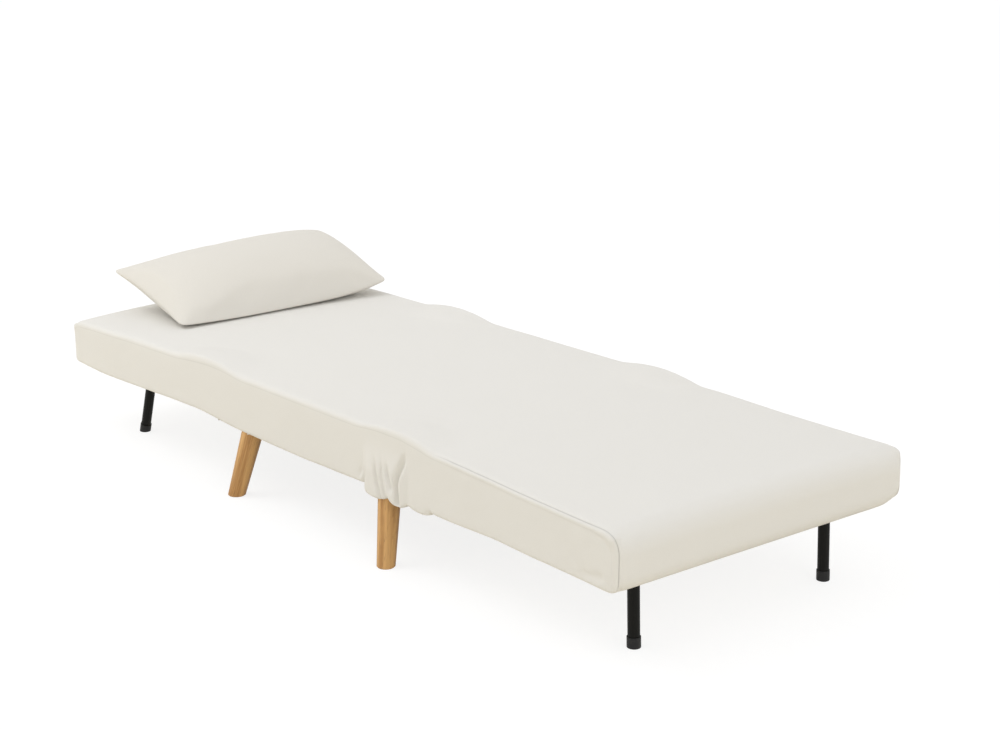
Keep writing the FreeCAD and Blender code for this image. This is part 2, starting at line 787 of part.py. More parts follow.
def tube_cap(top, down, length):
    """A moulded cap over the end of a leg, cut to stand flat on the floor."""
    radius = tube_diameter / 2 + cap_clearance + cap_wall
    cap = Part.makeCylinder(radius, cap_length + radius, top + down * (length - cap_length), down)
    cap = cap.common(box(top.x - bed_width, top.x + bed_width, -bed_width, bed_width, 0, rail_bottom))
    rim = [edge for edge in cap.Edges if edge.BoundBox.ZMax < 0.01]
    cap = cap.makeFillet(cap_edge_radius, rim)
    socket = rod(tube_diameter + 2 * cap_clearance, top, top + down * (length - cap_floor + cap_clearance))
    return cap.cut(socket)


def leg_pivot_bolt(pivot_x):
    """A shouldered bolt through the side rail into the crossbar's end."""
    inner_y = inner_rail_y - crossbar_gap - pivot_plug_length + 2 * tube_wall + 1
    shank = rod(pivot_bolt_diameter, Vector(pivot_x, inner_y, rail_middle),
                Vector(pivot_x, frame_half_width, rail_middle))
    head = rod(pivot_bolt_head, Vector(pivot_x, frame_half_width, rail_middle),
               Vector(pivot_x, frame_half_width + plate_thickness, rail_middle))
    return fused([shank, head])


# Pillow

def lens(y, depth, thickness):
    """A slice of the knife-edge pillow: two shallow arcs that meet at narrow side seams."""
    half = depth / 2
    seam = min(pillow_seam_thickness / 2, pillow_tip_share * thickness)
    return Part.Wire([
        Part.Arc(Vector(-half, y, seam), Vector(0, y, thickness / 2), Vector(half, y, seam)).toShape(),
        Part.makeLine(Vector(half, y, seam), Vector(half, y, -seam)),
        Part.Arc(Vector(half, y, -seam), Vector(0, y, -thickness / 2), Vector(-half, y, -seam)).toShape(),
        Part.makeLine(Vector(-half, y, -seam), Vector(-half, y, seam)),
    ])


def pillow_form(inset):
    """The stuffed form: fullest in the middle, drawn in along its sides between the corners."""
    end = pillow_length / 2 - inset
    slices = []
    for share in (-1.0, -0.86, -0.5, 0.0, 0.5, 0.86, 1.0):
        swell = (1 - abs(share) ** pillow_swell_power) ** pillow_swell_ease
        draw = pillow_waist * (1 - share * share)
        thickness = pillow_seam_thickness + (pillow_thickness - pillow_seam_thickness) * swell
        slices.append(lens(share * end, pillow_depth - draw - 2 * inset, max(thickness - 2 * inset, 1.0)))
    form = Part.makeLoft(slices, True, False)
    form.rotate(Vector(0, 0, 0), Vector(0, 1, 0), pillow_tilt)
    form.rotate(Vector(0, 0, 0), Vector(1, 0, 0), pillow_roll)
    return form


def pillow_parts():
    outer = pillow_form(0.0)
    inner = pillow_form(pillow_skin)
    rest = crown_height + pillow_rest_gap
    points, _ = outer.tessellate(1.0)
    drop = rest - min(point.z for point in points) - pillow_sink
    place = Vector(head_end_x + pillow_end_inset, pillow_centre_y, drop)
    outer.translate(place)
    inner.translate(place)
    below = box(-bed_length, bed_length, -bed_width, bed_width, 0, rest)
    below_inner = box(-bed_length, bed_length, -bed_width, bed_width, 0, rest + pillow_skin)
    outer = outer.cut(below)
    inner = inner.cut(below_inner)
    return outer.cut(inner), inner


# Seat section

def build_seat():
    x0 = recline_hinge_x + section_gap / 2
    x1 = fold_hinge_x - section_gap / 2
    frame_x0 = recline_hinge_x + frame_hinge_inset
    frame_x1 = fold_hinge_x - frame_hinge_inset
    bottom = underside_height - seat_hem_drop
    legs = [(leg_rear_foot_x, -1), (leg_front_foot_x, 1)]
    bolt_places = plate_bolt_places(recline_hinge_x, 1) + plate_bolt_places(fold_hinge_x, -1)
    holes = [bolt_hole(x, plate_bolt_diameter, bolt_clearance) for x in bolt_places]
    holes += [hanger_hole(*leg) for leg in legs]
    save("seat_side_rails", side_rails(frame_x0, frame_x1, holes))
    middle = (frame_x0 + frame_x1) / 2
    half = rail_size / 2
    save("seat_cross_rails", cross_rails([frame_x0 + half, middle, frame_x1 - half]))
    save("seat_rail_plugs", rail_plugs(frame_x0, frame_x1))
    places = slat_places(frame_x0, frame_x1)
    save("seat_slats", [slat(x) for x in places])
    save("seat_slat_shoes", [shoe for x in places for shoe in slat_shoes(x)])
    pocket_y = fixed_plate_y - hinge_pocket_inset
    pockets = hinge_pockets(recline_hinge_x, pocket_length, pocket_y, foam_bottom)
    pockets += hinge_pockets(fold_hinge_x, -pocket_length, pocket_y, foam_bottom)
    save("seat_foam", [make_foam(x0, x1, 0, pockets)])
    cuts = eye_slots(recline_hinge_x) + eye_slots(fold_hinge_x)
    cuts += both_sides([leg_room(*leg) for leg in legs])
    folds = gathered_side(-1, bottom)
    save("seat_cover", [make_cover(x0, x1, bottom, 0, x0 - 1, x1 + 1, cuts, folds)])
    save("recline_seat_plates", both_sides([toothed_plate()]))
    save("fold_seat_plates", both_sides([plain_hinge_plate(fold_hinge_x, -1, fixed_plate_y)]))
    save("recline_pins", both_sides([pivot_pin(recline_hinge_x)]))
    save("fold_pins", both_sides([pivot_pin(fold_hinge_x)]))
    head_y = fixed_plate_y + plate_thickness
    save("seat_plate_bolts", both_sides([bolt_with_nut(x, head_y, inner_rail_y) for x in bolt_places]))
    save("leg_plates", both_sides([leg_plate(*leg) for leg in legs]))
    save("leg_bolts", both_sides([hanger_bolt(*leg) for leg in legs]))
    for name, leg in zip(("rear", "front"), legs):
        shape = wood_leg(*leg)
        save("wood_leg_" + name + "_left", [shape])
        save("wood_leg_" + name + "_right", [mirrored(shape)])


# Head section, the chair's backrest

def build_back():
    x0 = head_end_x
    x1 = recline_hinge_x - section_gap / 2
    frame_x0 = frame_head_x
    frame_x1 = recline_hinge_x - frame_hinge_inset - back_frame_setback
    bolt_places = plate_bolt_places(recline_hinge_x, -1)
    holes = [bolt_hole(x, plate_bolt_diameter, bolt_clearance) for x in bolt_places]
    holes.append(bolt_hole(head_leg_pivot_x, pivot_bolt_diameter, 0.0))
    half = rail_size / 2
    save("back_side_rails", side_rails(frame_x0, frame_x1, holes))
    save("back_cross_rails", cross_rails([frame_x0 + half, frame_x1 - half]))
    save("back_rail_plugs", rail_plugs(frame_x0, frame_x1))
    places = slat_places(frame_x0, frame_x1)
    save("back_slats", [slat(x) for x in places])
    save("back_slat_shoes", [shoe for x in places for shoe in slat_shoes(x)])
    pocket_y = fixed_plate_y - hinge_pocket_inset
    pockets = hinge_pockets(recline_hinge_x, -pocket_length, pocket_y, foam_bottom)
    save("back_foam", [make_foam(x0, x1, -1, pockets)])
    opening_x0 = head_end_x + end_bottom_radius + hem_width
    cuts = eye_slots(recline_hinge_x)
    save("back_cover", [make_cover(x0, x1, underside_height, -1, opening_x0, x1 + 1, cuts, [])])
    slots = leg_slots(head_leg_pivot_x, head_leg_floor_x, 1, head_leg_y, 0, rail_bottom)
    save("back_under_panel", [under_panel(opening_x0, x1, slots)])
    save("recline_back_plates", both_sides([back_plate()]))
    save("pawl_pins", both_sides([pawl_pin()]))
    save("pawl_springs", both_sides([pawl_spring()]))
    head_y = moving_plate_y + plate_thickness
    save("back_plate_bolts", both_sides([bolt_with_nut(x, head_y, inner_rail_y) for x in bolt_places]))
    save("back_leg_pivot_bolts", both_sides([leg_pivot_bolt(head_leg_pivot_x)]))
    pawl = make_pawl()
    save("pawl_left", [pawl])
    save("pawl_right", [mirrored(pawl)])
    frame, caps = tube_leg_parts(head_leg_pivot_x, head_leg_floor_x, head_leg_y)
    save("head_leg_frame", [frame])
    save("head_leg_caps", caps)


def under_panel(x0, x1, slots):
    """A flat closing panel inside the hem of an end section."""
    y = half_width_at(0) - hem_width - cover_to_foam
    lo, hi = sorted((x0, x1))
    panel = box(lo + cover_to_foam, hi - cover_to_foam, -y, y,
                underside_height, underside_height + under_panel_thickness)
    return panel.cut(Part.makeCompound(slots))


# Foot section, the upper half of the chair's seat

def build_foot():
    x0 = fold_hinge_x + section_gap / 2
    x1 = foot_end_x
    frame_x0 = fold_hinge_x + frame_hinge_inset
    frame_x1 = frame_foot_x
    bolt_places = plate_bolt_places(fold_hinge_x, 1)
    holes = [bolt_hole(x, plate_bolt_diameter, bolt_clearance) for x in bolt_places]
    holes.append(bolt_hole(foot_leg_pivot_x, pivot_bolt_diameter, 0.0))
    half = rail_size / 2
    save("foot_side_rails", side_rails(frame_x0, frame_x1, holes))
    save("foot_cross_rails", cross_rails([frame_x0 + half, frame_x1 - half]))
    save("foot_rail_plugs", rail_plugs(frame_x0, frame_x1))
    places = slat_places(frame_x0, frame_x1)
    save("foot_slats", [slat(x) for x in places])
    save("foot_slat_shoes", [shoe for x in places for shoe in slat_shoes(x)])
    pocket_y = fixed_plate_y - hinge_pocket_inset
    pockets = hinge_pockets(fold_hinge_x, pocket_length, pocket_y, foam_bottom)
    save("foot_foam", [make_foam(x0, x1, 1, pockets)])
    opening_x1 = foot_end_x - end_bottom_radius - hem_width
    cuts = eye_slots(fold_hinge_x)
    folds = gathered_side(1, underside_height)
    save("foot_cover", [make_cover(x0, x1, underside_height, 1, x0 - 1, opening_x1, cuts, folds)])
    slots = leg_slots(foot_leg_pivot_x, foot_leg_floor_x, -1, foot_leg_y, 0, rail_bottom)
    save("foot_under_panel", [under_panel(x0, opening_x1, slots)])
    pad_bottom = underside_height + under_panel_thickness + cover_to_foam
    pad_y = frame_half_width
    pad = box(frame_x0, opening_x1, -pad_y, pad_y, pad_bottom, pad_bottom + under_pad_thickness)
    save("foot_under_pad", [pad.cut(Part.makeCompound(slots))])
    save("fold_foot_plates", both_sides([plain_hinge_plate(fold_hinge_x, 1, moving_plate_y)]))
    head_y = moving_plate_y + plate_thickness
    save("foot_plate_bolts", both_sides([bolt_with_nut(x, head_y, inner_rail_y) for x in bolt_places]))
    save("foot_leg_pivot_bolts", both_sides([leg_pivot_bolt(foot_leg_pivot_x)]))
    frame, caps = tube_leg_parts(foot_leg_pivot_x, foot_leg_floor_x, foot_leg_y)
    save("foot_leg_frame", [frame])
    save("foot_leg_caps", caps)


def build_pillow():
    cover, filling = pillow_parts()
    save("pillow_cover", [cover])
    save("pillow_filling", [filling])


build_seat()
build_back()
build_foot()
build_pillow()
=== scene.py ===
import json
import math

import bmesh
import bpy
import numpy as np
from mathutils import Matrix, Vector, noise


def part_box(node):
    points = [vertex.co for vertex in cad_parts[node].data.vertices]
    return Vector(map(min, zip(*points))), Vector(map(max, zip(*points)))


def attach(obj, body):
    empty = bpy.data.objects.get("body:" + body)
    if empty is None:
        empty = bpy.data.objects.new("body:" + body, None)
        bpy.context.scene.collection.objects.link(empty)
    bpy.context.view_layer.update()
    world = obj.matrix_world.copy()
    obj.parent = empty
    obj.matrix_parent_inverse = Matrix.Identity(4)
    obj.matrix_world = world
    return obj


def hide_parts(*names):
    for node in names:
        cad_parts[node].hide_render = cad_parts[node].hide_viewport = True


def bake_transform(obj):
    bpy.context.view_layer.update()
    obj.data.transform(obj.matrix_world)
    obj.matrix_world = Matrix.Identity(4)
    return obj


# The looks of a convertible chair bed, opened flat: its sewn cover, pillow, foam, oak and steel.
# Metres, in the frame's own axes: +X to the foot end, +Z up, the floor at zero.

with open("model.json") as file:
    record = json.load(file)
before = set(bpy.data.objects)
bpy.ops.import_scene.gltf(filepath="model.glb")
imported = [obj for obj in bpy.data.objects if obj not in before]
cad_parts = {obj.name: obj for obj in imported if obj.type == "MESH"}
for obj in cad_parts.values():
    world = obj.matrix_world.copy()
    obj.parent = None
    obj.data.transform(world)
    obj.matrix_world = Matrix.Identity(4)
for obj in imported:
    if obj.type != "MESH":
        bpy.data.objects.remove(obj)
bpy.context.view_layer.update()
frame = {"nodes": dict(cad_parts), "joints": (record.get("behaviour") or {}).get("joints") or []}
joints = {joint["name"]: joint for joint in frame["joints"]}


def low(node, axis):
    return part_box(node)[0][axis]


def high(node, axis):
    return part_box(node)[1][axis]


# Places taken from the frame
HEAD_X = low("back_cover", 0)
FOOT_X = high("foot_cover", 0)
LENGTH = FOOT_X - HEAD_X
END_HALF_WIDTH = high("foot_cover", 1)
RECLINE_X = joints["back_recline"]["pos_m"][0]
FOLD_X = joints["foot_fold"]["pos_m"][0]
MID_SEAT_X = (RECLINE_X + FOLD_X) / 2
CROWN_Z = high("seat_cover", 2)
PIN_TOP = {RECLINE_X: high("recline_pins", 2), FOLD_X: high("fold_pins", 2)}
PIN_INNER_Y = high("fold_seat_plates", 1) - 0.0075
PIN_OUTER_Y = high("fold_pins", 1)
WOOD_LEGS = ("rear_left", "rear_right", "front_left", "front_right")

# The cover's form
SIDE_DRAW_IN = 0.017
SHOULDER_RADIUS = 0.013
HEM_RADIUS = 0.008
END_TOP_RADIUS = 0.042
END_UNDER_RADIUS = 0.030
PLAN_CORNER_RADIUS = 0.028
HEM_WIDTH = 0.014
HEM_END_ROOM = 0.02
CLOTH_THICKNESS = 0.0016
CROWN_POWER = 2.6
CROWN_END_DROP = 0.005
LINE_EASE = 0.022
SIDE_BAND = (0.955, 0.995)
SIDE_UNEVEN = [(0.0016, 9.0, 3.1), (0.0006, 34.0, 7.7)]
TOP_UNEVEN = (0.0010, 5.0, 11.0)
TOP_SINK = 0.0007

# The soft swells over the ends of the hinge pins
PIN_CLEARANCE = 0.0008
PIN_DOME_RISE = 0.011
PIN_DOME_LENGTH = 0.105
PIN_DOME_INNER = 0.085
PIN_DOME_OUTER = 0.009
PIN_DOME_EASE = 0.0018
PIN_DOME_REACH = (0.80, 0.97)

# Height of the shoulder seam and of the hem along the bed
SHOULDER_LINE = [
    (-0.938, 0.246), (-0.888, 0.249), (-0.673, 0.257), (-0.305, 0.2635), (0.018, 0.2650),
    (0.170, 0.2655), (0.310, 0.2645), (0.386, 0.260), (0.466, 0.2635), (0.618, 0.258),
    (0.831, 0.255), (0.938, 0.255)]
HEM_LINE = [
    (-0.938, 0.150), (-0.800, 0.142), (-0.690, 0.144), (-0.400, 0.151), (-0.240, 0.141),
    (0.000, 0.139), (0.190, 0.144), (0.430, 0.141), (0.600, 0.146), (0.870, 0.1450),
    (0.938, 0.1455)]
# The hem lies higher at the foot end's far corner
FAR_HEM_RISE = 0.012
FAR_HEM_ACROSS = (0.85, 1.0)
FAR_HEM_ALONG = (0.89, FOOT_X)

# The gathered stretch at the fold hinge: round scallops of the hem (middle, half width, drop)
SCALLOPS = [(0.248, 0.042, 0.0155), (0.321, 0.0265, 0.0135), (0.380, 0.036, 0.010)]
SCALLOP_BAND = (0.90, 0.99)
BILLOW_START = (0.205, 0.225)
BILLOW_END = (0.330, 0.355)
BILLOW_FADE = (0.175, 0.240)
BILLOW_OUT = 0.008
# Creases pressed into the side panel: points from the top down, depth and half width
CREASES = [
    ([(0.2470, 0.214), (0.2560, 0.176), (0.2690, 0.134)], 0.0095, 0.0036),
    ([(0.2715, 0.218), (0.2746, 0.184), (0.2850, 0.140)], 0.0080, 0.0030),
    ([(0.2840, 0.208), (0.3050, 0.160)], 0.0115, 0.0036),
    ([(0.3470, 0.244), (0.3377, 0.223), (0.3240, 0.197), (0.3186, 0.176), (0.3240, 0.138)],
     0.0150, 0.0058),
    ([(0.2240, 0.186), (0.2080, 0.148)], 0.0060, 0.0055),
    ([(0.1900, 0.155), (0.2010, 0.172)], 0.0035, 0.0040),
    ([(0.3990, 0.1416), (0.4190, 0.1407)], 0.0040, 0.0045),
    ([(0.8180, 0.196), (0.8200, 0.176)], 0.0018, 0.0040),
    ([(0.8330, 0.164), (0.8520, 0.161), (0.8950, 0.168)], 0.0030, 0.0055),
]
CREASE_EASE = 0.40

# The raised roll between the shoulder seam and its line of stitches, and the groove inside it
ROLL_WIDTH = 0.012
ROLL_END_WIDTH = 0.020
ROLL_WIDENS = (FOOT_X - 0.07, FOOT_X - 0.01)
ROLL_HEIGHT = 0.0022
ROLL_START = (0.40, 0.50)
ROLL_ELSEWHERE = 0.20
ROLL_ROUNDNESS = 0.8
ROLL_BOTTOM = 0.12
GROOVE_DEPTH = 0.35
GROOVE_END = 1.6
SEAM_LIMIT = 0.03

# Cells of the cover's mesh: (reach, cell length), then across and up
CELLS_ALONG = [
    (HEAD_X + 0.05, 0.006), (0.18, 0.0105), (0.43, 0.0036), (FOOT_X - 0.05, 0.0105),
    (FOOT_X, 0.006)]
CELLS_ACROSS = 48
CELLS_UP = 18
CROWD_TO_SIDES = 1.5

# The cover's two pieces: the side of mid-seat kept, the bodies, the hinge and the bend's reach
COVER_PIECES = {
    "head_and_seat_cover": (False, "back_section", "seat_section", RECLINE_X, 0.055),
    "seat_and_foot_cover": (True, "seat_section", "foot_section", FOLD_X, 0.060),
}

# Room in the hem for the wooden legs
LEG_TOP_RADIUS = 0.023
LEG_ROOM = 0.004
HEM_EDGE_Z = 0.14
HEM_EDGE_REACH = 0.03


def half_width(x):
    return END_HALF_WIDTH - SIDE_DRAW_IN * (1 - (2 * x / LENGTH) ** 2)


def soft_line(x, points):
    """A height read from a line of points, with its corners eased."""
    xs, zs = np.array(points).T
    return sum(np.interp(x + shift * LINE_EASE, xs, zs) for shift in (-1, -0.5, 0, 0.5, 1)) / 5


def crown_rise(x, y, wide, shoulder):
    """How far the crowned top stands over the shoulder seam."""
    crown = CROWN_Z - CROWN_END_DROP * (2 * x / LENGTH) ** 2 - shoulder
    return crown * (1 - np.abs(y / wide) ** CROWN_POWER)


def smooth(value, start, end):
    t = np.clip((value - start) / (end - start), 0, 1)
    return t * t * (3 - 2 * t)


def rounded_corner(first, second, radius):
    """Distances inside two walls, moved so that the corner between the walls is round."""
    p = np.maximum(radius - first, 0)
    q = np.maximum(radius - second, 0)
    both = (p > 0) & (q > 0)
    share = np.where(both, np.maximum(p, q) / np.maximum(np.hypot(p, q), 1e-9), 1)
    return np.where(both, radius - p * share, first), np.where(both, radius - q * share, second)


def crease_depth(x, z, points, depth, half):
    """How deep a crease presses at each place of the side panel."""
    nearest = np.full(len(x), 1e9)
    run = np.zeros(len(x))
    passed = 0.0
    for (x0, z0), (x1, z1) in zip(points, points[1:]):
        dx, dz = x1 - x0, z1 - z0
        length = math.hypot(dx, dz)
        t = np.clip(((x - x0) * dx + (z - z0) * dz) / length ** 2, 0, 1)
        away = np.hypot(x - x0 - t * dx, z - z0 - t * dz)
        run = np.where(away < nearest, passed + t * length, run)
        nearest = np.minimum(nearest, away)
        passed += length
    eased = smooth(run, 0, passed * CREASE_EASE)
    return depth * eased * np.exp(-(nearest / half) ** 2)


def soft_noise(points, scale, seed):
    shift = Vector((seed, seed * 0.37, -seed))
    return np.array([noise.noise(Vector(p) * scale + shift) for p in points])


def cover_cells():
    """Even cell edges along the bed, shorter at the gathers and the ends."""
    edges = [HEAD_X]
    for reach, cell in CELLS_ALONG:
        count = max(1, round((reach - edges[-1]) / cell))
        edges += list(np.linspace(edges[-1], reach, count + 1)[1:])
    return np.array(edges)


def mesh_piece(name, mesh, material):
    piece = bpy.data.objects.new(name, mesh)
    bpy.context.scene.collection.objects.link(piece)
    mesh.materials.clear()
    mesh.materials.append(material)
    return piece


def smooth_shaded(mesh):
    mesh.polygons.foreach_set("use_smooth", [True] * len(mesh.polygons))
    mesh.update()


def applied(piece):
    """The piece's mesh with its modifiers worked in."""
    depsgraph = bpy.context.evaluated_depsgraph_get()
    mesh = bpy.data.meshes.new_from_object(piece.evaluated_get(depsgraph))
    piece.modifiers.clear()
    old = piece.data
    piece.data = mesh
    bpy.data.meshes.remove(old)
    return piece


def soften(piece):
    """One level of subdivision, worked in."""
    levels = piece.modifiers.new("soften", "SUBSURF")
    levels.levels = levels.render_levels = 1
    applied(piece)


def thicken(piece, thickness, offset):
    thick = piece.modifiers.new("cloth", "SOLIDIFY")
    thick.thickness = thickness
    thick.offset = offset


def ease(piece, steps):
    smoothing = piece.modifiers.new("ease", "SMOOTH")
    smoothing.factor = 0.5
    smoothing.iterations = steps


def cloth_map(mesh):
    """A UV map in metres along the threads, laid flat on each panel."""
    layer = mesh.uv_layers.new(name="cloth")
    for face in mesh.polygons:
        axis = max(range(3), key=lambda i: abs(face.normal[i]))
        across, up = [i for i in range(3) if i != axis]
        for loop in face.loop_indices:
            place = mesh.vertices[mesh.loops[loop].vertex_index].co
            layer.data[loop].uv = (place[across], place[up])


def steady_order(bm):
    """Sorts a grid's parts by their place, so that each run makes the same mesh."""
    def rank(place):
        return round(place.x, 4) * 1e6 + round(place.y, 4) * 1e3 + place.z

    bm.verts.sort(key=lambda vert: rank(vert.co))
    bm.edges.sort(key=lambda edge: rank((edge.verts[0].co + edge.verts[1].co) / 2))
    bm.faces.sort(key=lambda face: rank(face.calc_center_median()))
    for parts in (bm.verts, bm.edges, bm.faces):
        parts.index_update()


def cover_point_grid():
    """A cube cut into cells, which becomes the cover."""
    edges = cover_cells()
    bm = bmesh.new()
    bmesh.ops.create_grid(bm, x_segments=len(edges) - 1, y_segments=CELLS_ACROSS, size=1)
    top = list(bm.faces)
    made = bmesh.ops.extrude_face_region(bm, geom=top)
    raised = [item for item in made["geom"] if isinstance(item, bmesh.types.BMVert)]
    bmesh.ops.translate(bm, verts=raised, vec=(0, 0, 1))
    walls = [e for e in bm.edges if abs(e.verts[0].co.z - e.verts[1].co.z) > 0.5]
    bmesh.ops.subdivide_edges(bm, edges=walls, cuts=CELLS_UP - 1, use_grid_fill=True)
    bmesh.ops.recalc_face_normals(bm, faces=bm.faces)
    steady_order(bm)
    return bm, edges


def panel_distance(inside_x, inside_y, inside_top, inside_hem):
    """How far each place is inside the side panel's outline, below zero on the other panels."""
    panel_x, panel_top = rounded_corner(inside_x, inside_top, END_TOP_RADIUS)
    panel_x, _ = rounded_corner(panel_x, inside_hem, END_UNDER_RADIUS)
    at_corner = (panel_x < END_TOP_RADIUS) & (panel_top < END_TOP_RADIUS)
    from_centre = np.hypot(END_TOP_RADIUS - panel_x, END_TOP_RADIUS - panel_top)
    panel = np.where(at_corner, END_TOP_RADIUS - from_centre, np.minimum(panel_x, panel_top))
    return np.where(inside_y > 1e-6, -inside_y, panel)


def scalloped_hem(x, across):
    """The hem's height, with the scallops of the gathered stretch on both sides."""
    hem = soft_line(x, HEM_LINE)
    hem += FAR_HEM_RISE * smooth(across, *FAR_HEM_ACROSS) * smooth(x, *FAR_HEM_ALONG)
    drop = np.zeros(len(x))
    for middle, half, depth in SCALLOPS:
        drop = np.maximum(drop, depth * np.sqrt(np.maximum(1 - ((x - middle) / half) ** 2, 0)))
    return hem - drop * smooth(np.abs(across), *SCALLOP_BAND)


def over_pins(x, y, z, share):
    """Heights with a soft swell where the cover passes over each end of the hinge pins."""
    for hinge, top in PIN_TOP.items():
        along = (x - hinge) / PIN_DOME_LENGTH
        inner = np.maximum(PIN_INNER_Y - np.abs(y), 0) / PIN_DOME_INNER
        outer = np.maximum(np.abs(y) - PIN_OUTER_Y, 0) / PIN_DOME_OUTER
        dome = top + PIN_CLEARANCE + CLOTH_THICKNESS
        dome = dome - PIN_DOME_RISE * (along ** 2 + inner ** 2 + outer ** 2)
        over = np.clip((dome - z) / PIN_DOME_EASE, -30, 30)
        z = z + PIN_DOME_EASE * np.log1p(np.exp(over)) * smooth(share, *PIN_DOME_REACH)
    return z


def side_relief(places, panel, share, roll_width):
    """How far the side panel stands out: its billow, creases, unevenness and rolled seam."""
    x, _, z = places.T
    window = smooth(x, *BILLOW_START) * (1 - smooth(x, *BILLOW_END))
    outward = BILLOW_OUT * window * (1 - smooth(z, *BILLOW_FADE))
    for points, depth, half in CREASES:
        outward -= crease_depth(x, z, points, depth, half)
    for height, scale, seed in SIDE_UNEVEN:
        outward += height * soft_noise(places, scale, seed)
    roll_share = ROLL_ELSEWHERE + (1 - ROLL_ELSEWHERE) * smooth(x, *ROLL_START)
    across = np.clip(panel / roll_width, 0, GROOVE_END)
    raised = np.maximum(np.sin(math.pi * across), 0) ** ROLL_ROUNDNESS
    groove = -GROOVE_DEPTH * np.sin(math.pi * (across - 1) / (GROOVE_END - 1))
    on_roll = (panel > 0) & (across < GROOVE_END) & (share > ROLL_BOTTOM)
    roll = ROLL_HEIGHT * roll_share * np.where(across < 1, raised, groove)
    return outward + np.where(on_roll, roll, 0)


def mark_seams(bm, panel, roll_width, strengths):
    """Writes how far each point is from the seam and from its stitches, for the material."""
    edge_layer = bm.verts.layers.float.new("panel_edge")
    stitch_layer = bm.verts.layers.float.new("panel_stitch")
    strength_layer = bm.verts.layers.float.new("seam_strength")
    for vert, d, width, strength in zip(bm.verts, panel, roll_width, strengths):
        vert[edge_layer] = max(-SEAM_LIMIT, min(SEAM_LIMIT, d))
        vert[stitch_layer] = max(-SEAM_LIMIT, min(SEAM_LIMIT, d - width))
        vert[strength_layer] = strength


def shape_cover():
    """The cover as one closed form, and how far up its walls each point is."""
    bm, edges = cover_point_grid()
    grid = np.array([v.co for v in bm.verts])
    x = np.interp(grid[:, 0], np.linspace(-1, 1, len(edges)), edges)
    side_sign = np.sign(grid[:, 1])
    across = side_sign * (1 - (1 - np.abs(grid[:, 1])) ** CROWD_TO_SIDES)
    up = 0.5 * grid[:, 2] + 0.5 * (0.5 - 0.5 * np.cos(math.pi * grid[:, 2]))

    wide = half_width(x)
    shoulder = soft_line(x, SHOULDER_LINE)
    hem = scalloped_hem(x, across)
    height = shoulder - hem
    inside_x = np.minimum(x - HEAD_X, FOOT_X - x)
    inside_y = wide * (1 - np.abs(across))
    inside_top = height * (1 - up)
    inside_hem = height * up
    panel = panel_distance(inside_x, inside_y, inside_top, inside_hem)

    # The ends' top and under corners, then the plan's, then the shoulder and the hem
    inside_x, inside_top = rounded_corner(inside_x, inside_top, END_TOP_RADIUS)
    inside_x, inside_hem = rounded_corner(inside_x, inside_hem, END_UNDER_RADIUS)
    z = np.where(up > 0.5, shoulder - inside_top, hem + inside_hem)
    inside_x, inside_y = rounded_corner(inside_x, inside_y, PLAN_CORNER_RADIUS)
    top_gap = shoulder - z
    hem_gap = z - hem
    inside_y, top_gap = rounded_corner(inside_y, top_gap, SHOULDER_RADIUS)
    inside_y, hem_gap = rounded_corner(inside_y, hem_gap, HEM_RADIUS)
    z = np.where(up > 0.5, shoulder - top_gap, hem + hem_gap)
    x = np.where(x < 0, HEAD_X + inside_x, FOOT_X - inside_x)
    y = side_sign * (wide - inside_y)

    share = np.clip((z - hem) / height, 0, 1)
    z = over_pins(x, y, z + share * crown_rise(x, y, wide, shoulder), share)

    side = smooth(np.abs(y) / wide, *SIDE_BAND)
    roll_width = ROLL_WIDTH + (ROLL_END_WIDTH - ROLL_WIDTH) * smooth(x, *ROLL_WIDENS)
    places = np.stack([x, y, z], 1)
    y = y + side_sign * side * side_relief(places, panel, share, roll_width)
    # The top lies softly, lower where it has been sat on
    uneven, scale, seed = TOP_UNEVEN
    z = z + share * (1 - side) * (uneven * soft_noise(places, scale, seed) - TOP_SINK)

    for vert, px, py, pz in zip(bm.verts, x, y, z):
        vert.co = (px, py, pz)
    mark_seams(bm, panel, roll_width, smooth(x, *ROLL_START))
    return bm, up


def open_underside(bm, up):
    """Takes out the faces inside the hem and trims its edge straight."""
    hem_y = half_width(0) - HEM_WIDTH
    x0 = HEAD_X + END_UNDER_RADIUS + HEM_WIDTH
    x1 = FOOT_X - END_UNDER_RADIUS - HEM_WIDTH
    bm.verts.ensure_lookup_table()
    bottom = [f for f in bm.faces if all(up[v.index] < 1e-6 for v in f.verts)]
    inner = [f for f in bottom if abs(f.calc_center_median().y) < hem_y
             and x0 < f.calc_center_median().x < x1]
    bmesh.ops.delete(bm, geom=inner, context="FACES")
    for vert in bm.verts:
        if vert.is_boundary:
            if x0 + HEM_END_ROOM < vert.co.x < x1 - HEM_END_ROOM:
                vert.co.y = math.copysign(hem_y, vert.co.y)
            elif vert.co.x < 0:
                vert.co.x = x0
            else:
                vert.co.x = x1


def clear_of_legs(bm):
    """Pushes the hem's edge round the wooden legs, where they come through it."""
    for name in WOOD_LEGS:
        lo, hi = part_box("wood_leg_" + name)
        outward = 1 if "left" in name else -1
        centre_x = lo.x + LEG_TOP_RADIUS if "front" in name else hi.x - LEG_TOP_RADIUS
        centre_y = (lo.y if outward > 0 else hi.y) + outward * LEG_TOP_RADIUS
        centre = Vector((centre_x, centre_y, 0))
        room = LEG_TOP_RADIUS + LEG_ROOM
        for vert in bm.verts:
            if vert.is_boundary and abs(vert.co.z - HEM_EDGE_Z) < HEM_EDGE_REACH:
                away = Vector((vert.co.x - centre.x, vert.co.y - centre.y, 0))
                if away.length < room and away.length > 1e-6:
                    moved = centre + away.normalized() * room
                    vert.co.x = moved.x
                    vert.co.y = moved.y


